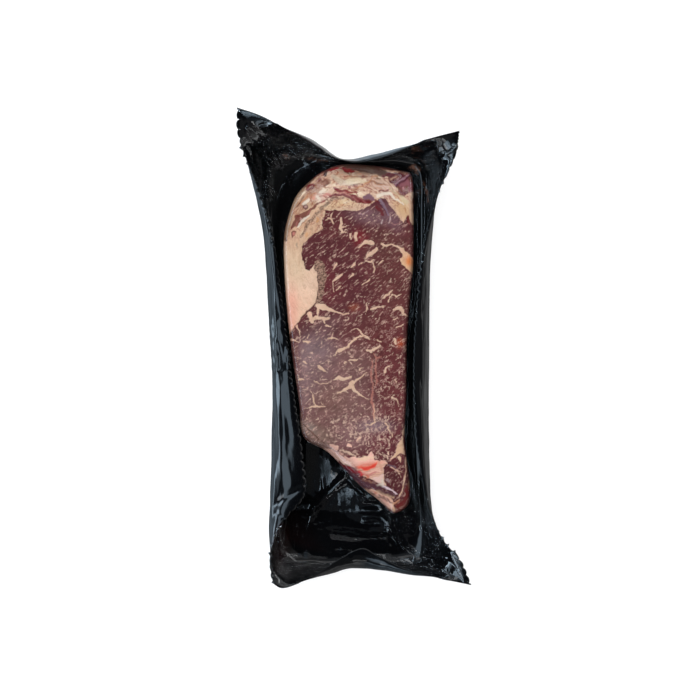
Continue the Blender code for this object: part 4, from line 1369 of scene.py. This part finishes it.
def set_in(column, row):
    """How far, in mm, the scallops set the long cut edges in, down along the wall."""
    ring, turn = ring_and_turn(column, row)
    from_middle = row - ROWS / 2
    pitch_change = 1 / SCALLOP_PITCH[0] - 1 / SCALLOP_PITCH[1]
    count = EDGE_LENGTH * from_middle * (1 / SCALLOP_PITCH[0] - pitch_change * np.abs(from_middle) / ROWS)
    half = 2 * (count + 0.25 * noise(count / 3, column, 61) - np.floor(count)) - 1
    lobe = 1 - np.sqrt(np.clip(1 - np.clip(half, -1, 1) ** 2, 0, 1))
    uneven = 0.9 + 0.3 * noise(count, column + 7, 63)
    # the top right ear's tip has small teeth, and the fold below them is nearly straight
    at_right, tip = column > COLUMNS / 2, ROWS - TEETH_UNITS
    tooth = np.abs(np.mod(TEETH_TO_A_UNIT * row, 1) - 0.5) * 1.5
    lobe = np.where(at_right & (row > tip), tooth, lobe)
    uneven = np.where(at_right & (row < tip) & (row > ROWS - 4), 0.35, uneven)
    on_long_side = ease(0.0, 0.1, np.minimum(row, ROWS - row)) * (np.floor(turn) % 2 == 1)
    depth = SCALLOP_DEPTH * uneven * lobe * on_long_side * ease(0.6, 0.0, ring)
    down = wall(turn, np.full_like(turn, 0.97)) - cut_edge.at(turn)
    down[:, 0] -= 3.0 * (at_right & (row > tip))
    travel = unit(cut_edge.at(turn + 0.01) - cut_edge.at(turn - 0.01))
    down -= (down * travel).sum(axis=1, keepdims=True) * travel
    return depth[:, None] * unit(down)


print("about", round(EDGE_LENGTH * ROWS / np.mean(SCALLOP_PITCH)), "scallops on a long side")

# %% The black film's surface
def raw_base(column, row):
    """The black film without its wrinkles."""
    ring, turn = ring_and_turn(column, row)
    floor = inside_loop(foot.at, *inner_shares(column, row, FOOT_RING))
    standing = wall(turn, wall_rise(turn, np.minimum(ring, FOOT_RING)))
    return np.where((ring >= FOOT_RING)[:, None], floor, standing)


def off_diagonal(ring, turn):
    """How many cells lie between a place and the line that runs from an ear to the foot."""
    return np.minimum(np.mod(turn, 1), 1 - np.mod(turn, 1)) * (35 - 2 * ring)


def base_points(column, row):
    """The black film with the sharp line from ear to foot rounded."""
    ring, turn = ring_and_turn(column, row)
    reach = 0.9 * np.exp(-((off_diagonal(ring, turn) / 1.6) ** 2)) * ease(0, 1.5, ring) * ease(8.5, 6.5, ring)
    total = raw_base(column, row)
    for step_x, step_y in ((1, 0), (-1, 0), (0, 1), (0, -1)):
        total = total + raw_base(column + reach * step_x, row + reach * step_y)
    return total / 5 + set_in(column, row)


def normals_of(points, column, row, step=0.12):
    """The upward or inward directions of a surface that is given as a function of column and row."""
    inner_column = np.clip(column, step, COLUMNS - step)
    inner_row = np.clip(row, step, ROWS - step)
    across = points(inner_column + step, inner_row) - points(inner_column - step, inner_row)
    along = points(inner_column, inner_row + step) - points(inner_column, inner_row - step)
    return unit(np.cross(across, along))


third_ring = base_points(np.array([3.0]), np.array([21.0]))[0]
print("the black film is", round(float(third_ring[2]), 1), "mm up at ring 3")

# %% The clear film's surface
def top_points(column, row):
    """The clear film: the lining of the wall, the dip round the steak, and the steak's face."""
    ring, turn = ring_and_turn(column, row)
    lined = base_points(column, row) + LINING * normals_of(base_points, column, row)
    upper = wall(turn, wall_rise(turn, np.full_like(turn, WALL_RINGS - 1.0)))
    edge_of_wall = wall(turn, wall_rise(turn, np.full_like(turn, WALL_RINGS)))
    dip = (edge_of_wall + steak_line.at(turn) + 1.2 * steak_line.outward(turn)) / 2
    dip[:, 2] = crevice_height(turn)
    side = steak_point(turn, 0.0, SIDE_DROP) + 0.7 * steak_line.outward(turn)
    shoulder = steak_point(turn, 0.6, 0.7)
    rim, inside = [steak_point(turn, inset, -FACE_LIFT) for inset in (FACE_INSET, FLAT_INSET)]
    stations = [upper, edge_of_wall, dip, side, shoulder, rim, inside]
    bridge = through_stations(stations, np.clip(ring - WALL_RINGS, 0, 3.999))
    face = face_point(*inner_shares(column, row, FACE_RING), FACE_LIFT)
    to_bridge = ease(WALL_RINGS - 0.6, WALL_RINGS + 0.6, ring)[:, None]
    outside = lined * (1 - to_bridge) + bridge * to_bridge
    return np.where((ring >= FACE_RING)[:, None], face, outside)


probe = top_points(np.array([14.0, 3.0]), np.array([21.0, 21.0]))
print("the clear film over the middle of the steak is", round(probe[0, 2], 1), "mm high")

# %% [markdown]
# ## Wrinkles and folds
#
# Shrink film is smooth and tight, with sharp folds at its ears, long soft waves along its sides and bands
# across its wide end. A bump in the shader would only fake their glints, and these meshes are fine enough
# to carry them as real relief. The folds that the photo shows are strokes, in pixels, and the waves are
# noise.

# %% Folds that both films share
# each fold: its line and width in pixels, and its height in mm
SHARED_FOLDS = [
    ([(246.4, 128.7), (246.4, 134), (251.8, 141.2), (260.7, 148.3), (268.8, 153.7)], 3.4, 0.9),
    ([(248.2, 126.7), (256.3, 130.3), (264.9, 137.4), (272.4, 152.6)], 3.4, 0.9),
    ([(261.6, 127.7), (267.9, 126.8), (273.7, 123.2)], 3.0, 0.8),
    ([(266, 135.7), (278.6, 162.5), (289.3, 180.4)], 3.6, 0.7),
    ([(292, 138.4), (303.6, 157.1), (314.3, 168.8), (320.5, 174.1)], 3.4, 0.7),
    ([(304.5, 155.4), (315, 157.6), (325.9, 158.9)], 3.0, 0.6),
    ([(250, 148.2), (255.4, 167.9), (260.7, 182.1), (268, 198)], 4.0, 0.9),
    ([(269.6, 183.9), (275, 196.4), (279.5, 200.9)], 4.0, 0.8),
    ([(274.1, 206.3), (278.6, 215.2), (279.5, 229.5)], 4.4, 0.8),
    ([(268.8, 218.8), (272.3, 232.1), (273, 244)], 4.0, 0.7),
    ([(415, 168), (420.7, 167.3), (437.7, 162), (446.6, 154.8), (456, 148)], 4.0, 1.1),
    ([(427.9, 158.5), (434.1, 152.1), (437.7, 146.8), (440.4, 151.1)], 3.6, 0.9),
    ([(419.8, 203.9), (428, 203.9)], 3.0, 0.6),
    ([(423.4, 179.8), (427, 190), (428.8, 201.3)], 3.4, 0.7),
    ([(364.4, 522.8), (374.7, 521.3), (386.4, 527.2), (392.3, 530.9)], 4.4, 0.9),
    ([(309, 530), (330, 527.6), (352, 529.6), (389, 527)], 6.0, 1.0),
    ([(330, 542), (352, 545), (385, 542)], 5.0, 0.9),
    ([(300, 556), (322, 553), (350, 556)], 5.0, 0.9),
    ([(282, 544), (300, 541), (330, 536)], 4.0, 0.8),
    ([(306, 566), (330, 561), (345, 550)], 4.0, 0.8),
    ([(297, 530.1), (291.8, 540.4)], 3.6, 0.9),
    ([(276.0, 504.0), (290.2, 494.8), (300.5, 487.9)], 5.4, 1.4),
    ([(277, 513), (284, 520)], 3.6, 0.9),
    ([(283, 322), (285, 345), (281, 368)], 10.0, 1.6),
    ([(424.6, 559.5), (435, 558.4), (445.1, 558.7)], 3.6, 0.9),
    ([(434.8, 565.3), (440, 568.6), (445.1, 569.7)], 3.4, 0.8),
    ([(452, 556), (458, 566), (464, 580)], 4.0, 0.8),
]
print(len(SHARED_FOLDS), "shared folds")

# %% Folds of the clear film, where it stands off the black one
FREE_FOLDS = [
    ([(305.7, 483.1), (312, 482.9), (318, 482.7), (325.6, 481.6), (329.4, 483.9)], 3.2, 0.6),
    ([(321.8, 486.2), (325.6, 490.7)], 4.0, 0.9),
    ([(346, 474), (344.7, 478.5), (333.3, 490), (324, 497.6), (314.1, 509.1), (309.5, 519.8)], 6.4, 2.0),
    ([(346, 477.6), (351, 482.6), (356.2, 487.7), (363.9, 493)], 5.0, 1.2),
    ([(368.4, 499.2), (375.3, 501.5)], 3.4, 0.7),
    ([(393, 513), (395, 525), (399, 540), (405, 552), (415, 560), (430, 566)], 8.0, 2.4),
    ([(405.5, 512.5), (408, 518), (409.9, 524.3), (413, 534)], 4.0, 1.1),
    ([(412.8, 510), (418, 520), (423, 532)], 4.0, 1.0),
    ([(418.7, 483.2), (423.1, 506.7), (424.6, 531.6)], 4.4, 1.0),
    ([(397.5, 184.3), (404, 178), (410.9, 171.8), (414.6, 168.4)], 3.0, 1.0),
    ([(299.1, 185.7), (291, 190.6), (286.6, 176.8)], 3.0, 1.0),
    ([(376.9, 483.1), (386, 487.7), (392.2, 492.3), (397.5, 496.9)], 2.6, 0.8),
]
print(len(FREE_FOLDS), "folds of the clear film alone")

# %% Folds as heights
def ridges(px, py, folds):
    """The height in mm of rounded folds."""
    height = np.zeros(px.shape)
    for points, width, tall in folds:
        depth = stroke(px, py, points, 0.0)
        height = np.maximum(height, tall * np.exp(-((depth / (width / 2)) ** 2)))
    return height


def from_corner(column, row):
    """How many cells a place is from the sheet's nearest corner."""
    return np.hypot(np.minimum(column, COLUMNS - column), np.minimum(row, ROWS - row))


print("a fold's top:", ridges(np.array([415.0]), np.array([168.0]), SHARED_FOLDS)[0], "mm")

# %% Wrinkles as heights
# the pitted stretch of the left wall: its middle and reach along the picture, in pixels
PITS_AT, PITS_REACH = 346, 32


def shared_relief(column, row, px, py):
    """The wrinkles that both films have, as a height in mm along their normal."""
    ring, turn = ring_and_turn(column, row)
    side = np.floor(turn) % 2 == 1
    long_wave = 0.75 * rough_noise(ring * 1.1, turn * 6, 41) + 0.12 * rough_noise(ring * 3.0, turn * 26, 43)
    pitted = np.exp(-(((py - PITS_AT) / PITS_REACH) ** 2)) * (px < 330)
    pits = 0.5 * rough_noise(ring * 2.4, turn * 60, 45) * pitted
    end_wave = 0.45 * rough_noise(px / 26, py / 6.5, 51) + 0.12 * rough_noise(px / 11, py / 3.6, 53)
    relief = np.where(side, long_wave + pits, end_wave) * ease(0.0, 1.6, off_diagonal(ring, turn))
    # the ears are stretched smooth between their folds
    return relief * ease(0.0, 0.8, ring) * ease(7.5, 5.5, ring) * ease(4.0, 10.0, from_corner(column, row))


def free_relief(column, row, px, py):
    """The clear film's own creases, and the long soft bands in the wide gap at the steak's tail."""
    ring, _ = ring_and_turn(column, row)
    creases = 0.3 * np.abs(noise(px / 9, py / 6, 71)) * ease(4.0, 9.0, from_corner(column, row))
    bands = 0.8 * (1.4 + noise(px / 34, py / 5.5, 75) + 0.3 * noise(px / 13, py / 2.8, 77))
    at_tail = ease(488, 500, py) * ease(278, 292, px) * ease(402, 388, px) * ease(2.0, 4.0, ring)
    return (creases * ease(3.5, 5.5, ring) + bands * at_tail) * ease(9.2, 8.0, ring)


print("the pits lie round row", PITS_AT, "of the picture")

# %% [markdown]
# ## The black film
#
# This is the tray side of the pack, a glossy black film. It starts as the flat sheet, with finer cells at
# the three ruffled ears and along the scalloped edges, and Solidify gives it a thickness at the end. One
# mesh of even fine cells would be simpler, but far heavier.

# %% Finer cells where they are needed
FILM_CELLS = 6
FINEST = 3 * 2 * 2 * FILM_CELLS
# The three ruffled ears, as columns and rows of the sheet
EARS = [((0, 6), (36, 42)), ((22, 28), (36, 42)), ((22, 28), (0, 6))]


def make_finer(sheet, areas, cuts):
    """Split the cells of these areas of a flat sheet."""
    middles = {face: face.calc_center_median() for face in sheet.faces}
    chosen = {
        edge for (left, right), (low_row, high_row) in areas for face, middle in middles.items()
        if left < middle.x < right and low_row < middle.y < high_row for edge in face.edges
    }
    edges = sorted(chosen, key=lambda edge: edge.index)
    bmesh.ops.subdivide_edges(sheet, edges=edges, cuts=cuts, use_grid_fill=True)


print("finest step of a sheet:", round(1 / FINEST, 4), "cells")

# %% A sheet for a film
def film_sheet(ear_cuts):
    """A flat sheet in units of the rings, with finer steps at the ears and along the scalloped edges."""
    sheet = flat_grid(COLUMNS * FILM_CELLS, ROWS * FILM_CELLS)
    shrink = Matrix.Diagonal((1 / FILM_CELLS, 1 / FILM_CELLS, 1, 1))
    bmesh.ops.transform(sheet, matrix=shrink, verts=sheet.verts)
    sheet.edges.index_update()
    make_finer(sheet, EARS, ear_cuts)
    far_column, longest = COLUMNS - 1e-4, 0.9 / FILM_CELLS
    cut_edges = []
    for edge in sheet.edges:
        left, right = sorted(vertex.co.x for vertex in edge.verts)
        if right < 1e-4 or left > far_column:
            cut_edges.append(edge)
    long_ones = [edge for edge in cut_edges if edge.calc_length() > longest]
    short_ones = [edge for edge in cut_edges if edge.calc_length() < longest]
    bmesh.ops.subdivide_edges(sheet, edges=long_ones, cuts=2)
    bmesh.ops.subdivide_edges(sheet, edges=short_ones, cuts=3 - ear_cuts)
    sheet.edges.index_update()
    return sheet


def exact_places(sheet):
    """The columns and rows, freed of small rounding errors."""
    column, row = np.round(places_of(sheet) * FINEST) / FINEST
    return np.clip(column, 0, COLUMNS), np.clip(row, 0, ROWS)


def shared_shape(sheet):
    """What both films start from: their places, the black film's points and normals, waves and folds."""
    column, row = exact_places(sheet)
    ring, _ = ring_and_turn(column, row)
    base, normal = base_points(column, row), normals_of(base_points, column, row)
    lining = base + LINING * normal
    px, py = to_pixels(lining[:, 0], lining[:, 1])
    folded = ridges(px, py, SHARED_FOLDS) * ease(7.0, 5.5, ring)
    return column, row, ring, px, py, base, normal, shared_relief(column, row, px, py), folded


print("a film's sheet is", COLUMNS * FILM_CELLS, "by", ROWS * FILM_CELLS, "cells before it gets finer")

# %% The black film's mesh
black_sheet = film_sheet(1)
# what lies flat on the table, under the clear film and the steak, is one face
middles = {face: face.calc_center_median() for face in black_sheet.faces}
flat = [
    face for face, middle in middles.items()
    if FOOT_RING < middle.x < COLUMNS - FOOT_RING and FOOT_RING < middle.y < ROWS - FOOT_RING
]
bmesh.ops.dissolve_faces(black_sheet, faces=flat)
_, _, _, px, py, base, base_normal, waves, folded = shared_shape(black_sheet)
black_places = base + base_normal * (waves + 0.5 * folded)[:, None]
black_places[:, 2] = np.maximum(black_places[:, 2], 0.0)
shape_to(black_sheet, black_places)
print("the black film has", len(black_places), "points")

# %% Brown tints between the films
BROWN_CORNER = [(270, 545), (280, 525), (292, 528), (286, 560), (276, 572)]
brown_share = 0.35 * ease(-6, 6, patch(px, py, BROWN_CORNER))
# scraps of meat juice
SCRAPS = [
    ([(304.5, 155.4), (315, 157.6), (325.9, 158.9)], 0.6),
    ([(281.6, 152), (285.6, 154.6), (288.4, 156.4)], (1, 2, 1)),
    ([(423.4, 179.8), (427, 190), (428.8, 201.3)], (0.8, 2, 0.8)),
    ([(414, 166), (417, 168.6)], 7.0),
]
scrap_share = ease(-0.8, 0.8, deepest(px + noise(px, py, 81), py + noise(px, py, 83), SCRAPS))
print("juice covers", round(float((scrap_share > 0.5).mean()), 4), "of the black film's points")

# %% The black film's finish and piece
FILM_BLACK, FILM_BROWN, JUICE = (0.0022, 0.0024, 0.0030), (0.030, 0.008, 0.006), (150, 104, 84)
black, shader, wire = new_material("black_film")
smears = wire.grain(90, 3, 0.6, 2.5, 100)
fine = wire.grain(600, 2, 0.5)
colour = wire.flat_colour(FILM_BLACK).lit(0.7 + 0.6 * smears)
colour = colour.to_colour(FILM_BROWN, wire.attribute("brown") * 0.8)
colour = colour.to_colour(linear(*JUICE), wire.attribute("scrap") * fine.step(0.40, 0.60, 0.15, 0.7))
plug(
    shader, Base_Color=colour, Roughness=smears.step(0.35, 0.7, 0.08, 0.16), IOR=1.5,
    Normal=wire.bump(smears + fine * 0.03, 0.0004, 0.4),
)
black_film = new_piece("black_film", black_sheet, black, "base_film", {
    "brown": brown_share, "scrap": scrap_share,
})
walls = black_film.modifiers.new("thickness", "SOLIDIFY")
walls.thickness, walls.offset, walls.use_rim = 0.5 * MM, 1.0, True
print("black film:", len(black_film.data.polygons), "faces")

# %% [markdown]
# ## The clear film
#
# The clear film is thin, tight and glossy. Glass would be the first thought, but a film is too thin to bend
# light. So it is an open sheet that lets the light through, and mirrors a little of it, more at a slant. It
# follows the black film's wrinkles on the wall and has folds of its own where it stands free.

# %% The clear film's mesh
# the wide gap at the steak's tail, as columns and rows, needs finer steps for its wrinkles
TAIL_GAP = ((5.8, 22.0), (5.0, 9.0))
clear_sheet = film_sheet(2)
make_finer(clear_sheet, [TAIL_GAP], 2)
column, row, ring, _, _, _, base_normal, waves, folded = shared_shape(clear_sheet)
film, film_normal = top_points(column, row), normals_of(top_points, column, row)
film_px, film_py = to_pixels(film[:, 0], film[:, 1])
own = ridges(film_px, film_py, FREE_FOLDS) * ease(0.5, 1.5, ring)
own += ridges(film_px, film_py, SHARED_FOLDS) * ease(5.5, 7.0, ring) * ease(9.4, 8.6, ring)
free = own + free_relief(column, row, film_px, film_py)
shape_to(clear_sheet, film + base_normal * (waves + folded)[:, None] + film_normal * free[:, None])
print("the clear film has", len(film), "points")

# %% The clear film's finish and piece
# how much the film mirrors face on, how much more at a slant, and how steeply that grows
FACE_ON, AT_A_SLANT, STEEPNESS = 0.055, 0.9, 5.0
clear, shader, wire = new_material("clear_film")
ripples = wire.grain(230, 2, 0.5, 2.0, 120)
small = wire.grain(1200, 2, 0.5)
# on the walls the film is pulled tighter than on the steak
slack = 1 - 0.75 * wire.attribute("taut")
surface = wire.bump((ripples + small * 0.015) * slack, 0.0004, 0.35)
plug(
    shader, Base_Color=(0.93, 0.94, 0.95, 1), Metallic=1.0, Roughness=ripples.step(0.4, 0.7, 0.045, 0.10),
    Normal=surface,
)
slant = wire.node("ShaderNodeLayerWeight", {}, {"Blend": 0.5, "Normal": surface}, "Facing")
mirror = FACE_ON + AT_A_SLANT * slant.maths("POWER", slant, STEEPNESS)
see_through = wire.node("ShaderNodeBsdfTransparent", {}, {"Color": (0.985, 0.98, 0.975, 1)})
glossy = Wire(wire.tree, shader.outputs[0])
both = wire.node("ShaderNodeMixShader", {}, {0: mirror, 1: see_through, 2: glossy})
output = clear.node_tree.nodes["Material Output"]
clear.node_tree.links.new(both.socket, output.inputs["Surface"])
taut = {"taut": ease(8.5, 6.5, ring)}
clear_film = new_piece("clear_film", clear_sheet, clear, "top_film", taut)
print("clear film:", len(clear_film.data.polygons), "faces")

# %% [markdown]
# ## The table, the light and the camera
#
# The photo is cut out on white, so the floor glows a little and has only a faint shadow. The meat and the
# films want different light. Large soft lamps light the meat, and their glare is hidden from the films.
# What the films mirror is a room of glowing bands, one on each side, because long films show their
# surroundings as long streaks. A set of small lamps alone would leave the black film dead.

# %% The floor
floor_sheet = bmesh.new()
bmesh.ops.create_grid(floor_sheet, x_segments=4, y_segments=4, size=4.0)
floor_mesh = bpy.data.meshes.new("floor")
floor_sheet.to_mesh(floor_mesh)
floor_sheet.free()
paper, shader, wire = new_material("floor")
plug(
    shader, Base_Color=(0.3, 0.3, 0.3, 1), Roughness=0.9, Specular_IOR_Level=0.0, Emission_Color=(1, 1, 1, 1),
    Emission_Strength=0.86,
)
floor_mesh.materials.append(paper)
floor = bpy.data.objects.new("floor", floor_mesh)
bpy.context.scene.collection.objects.link(floor)
# the floor makes the picture's white ground, and the films don't mirror it
floor.visible_glossy = False
floor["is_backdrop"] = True
print("the floor is", floor.dimensions.x, "m wide")

# %% The lamps
LAMP_COLOUR = (0.96, 0.98, 1.0)
# name, place, width and height in metres, power in watts, and whether its glare shows on the films
LIGHTS = [
    ("left_box", (-1.60, 0.10, 0.95), (1.7, 0.22), 2.9, False),
    ("right_box", (1.70, 0.20, 0.85), (1.4, 0.16), 0.7, True),
    ("top_box", (0.10, 1.80, 0.80), (1.5, 0.45), 7.0, False),
    ("bottom_box", (0.0, -1.90, 0.70), (1.4, 0.30), 2.0, True),
    ("overhead_box", (-0.5, 0.3, 1.9), (1.6, 1.6), 31.0, False),
    ("high_strip", (-0.1, 1.6, 1.65), (1.8, 0.45), 3.6, True),
    ("right_corner", (1.25, 1.35, 1.0), (0.9, 0.36), 2.8, True),
    ("left_corner", (-1.45, -1.0, 1.0), (0.9, 0.36), 2.2, True),
    ("far_corner", (-1.20, 1.50, 1.0), (0.9, 0.36), 2.2, True),
]
for name, place, (wide, tall), power, shows in LIGHTS:
    lamp = bpy.data.lights.new(name, "AREA")
    lamp.shape, lamp.size, lamp.size_y, lamp.energy = "RECTANGLE", wide, tall, power
    lamp.color = LAMP_COLOUR
    box = bpy.data.objects.new(name, lamp)
    box.location = place
    box.rotation_euler = (-Vector(place)).to_track_quat("-Z", "Y").to_euler()
    box.visible_glossy = shows
    bpy.context.scene.collection.objects.link(box)
    box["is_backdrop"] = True
print(len(LIGHTS), "lamps")

# %% The room that the films mirror
GLOW_COLOUR, LEFT_GLOW_COLOUR = (0.97, 0.985, 1.0), (0.66, 0.84, 1.0)
world = bpy.data.worlds.new("studio")
world.use_nodes = True
wire = Wire(world.node_tree)
direction = wire.node("ShaderNodeTexCoord", {}, {}, "Generated")
sideways, inward, upward = [wire.node("ShaderNodeSeparateXYZ", {}, {0: direction}, axis) for axis in "XYZ"]
# how far a direction points right and up the picture, whatever its height
level = wire.maths("POWER", 1.0001 - upward * upward, 0.5)
right_way, top_way = wire.maths("DIVIDE", sideways, level), wire.maths("DIVIDE", inward, level)
# four walls that glow in bands, with a white horizon and a dark ceiling
left_wall = upward.step(-1.0, -0.55, 0.08, 0.9) * upward.step(0.20, 0.30, 1.0, 0.04)
left_wall = left_wall + upward.step(-0.20, -0.08) * upward.step(0.12, 0.02) * 5.5
left_wall = left_wall + upward.step(0.48, 0.54) * upward.step(0.84, 0.78) * 2.4
right_wall = upward.step(-1.0, -0.5, 0.1, 0.8) * upward.step(-0.3, 0.0, 1.0, 0.4)
right_wall = right_wall * upward.step(0.26, 0.5, 1.0, 0.25)
top_wall = upward.step(-1.0, -0.6, 0.5, 2.2) * upward.step(-0.2, 0.3, 1.0, 0.15)
bottom_wall = upward.step(-1.0, -0.6, 0.1, 0.35) * upward.step(-0.2, 0.3, 1.0, 0.25)
glow = upward.step(-0.06, -0.02) * upward.step(0.14, 0.09)
for wall_glow, share in (
    (left_wall, right_way.step(-0.3, -0.8)), (right_wall, right_way.step(0.3, 0.8)),
    (top_wall, top_way.step(0.3, 0.8)), (bottom_wall, top_way.step(-0.3, -0.8)),
):
    glow = wire.maths("MAXIMUM", glow, wall_glow * share * upward.step(0.95, 0.90))
glow_colour = wire.flat_colour(GLOW_COLOUR).to_colour(LEFT_GLOW_COLOUR, right_way.step(0.2, -0.5))
background = world.node_tree.nodes["Background"]
world.node_tree.links.new(glow_colour.socket, background.inputs["Color"])
world.node_tree.links.new(glow.socket, background.inputs["Strength"])
bpy.context.scene.world = world
print("nodes of the room:", len(world.node_tree.nodes))

# %% The camera
CAMERA_AT = (-0.0022, -0.0010, 2.2)
SHOWN_HEIGHT, SENSOR, PICTURE = 0.028, 36.0, 700
lens = bpy.data.cameras.new("camera")
lens.sensor_width = SENSOR
lens.lens = SENSOR * (CAMERA_AT[2] - SHOWN_HEIGHT) / (PICTURE * PIXEL * MM)
camera = bpy.data.objects.new("camera", lens)
camera.location = CAMERA_AT
bpy.context.scene.collection.objects.link(camera)
bpy.context.scene.camera = camera
bpy.context.scene.view_settings.view_transform = "Standard"
print("lens:", round(lens.lens), "mm")

# %% [markdown]
# ## Size and the end
#
# The shown model should stay the size of the packed one, so the last line prints the size of its box in mm.

# %% Size and the end
low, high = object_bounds()
print("shown size in mm:", [round((b - a) / MM, 1) for a, b in zip(low, high)])
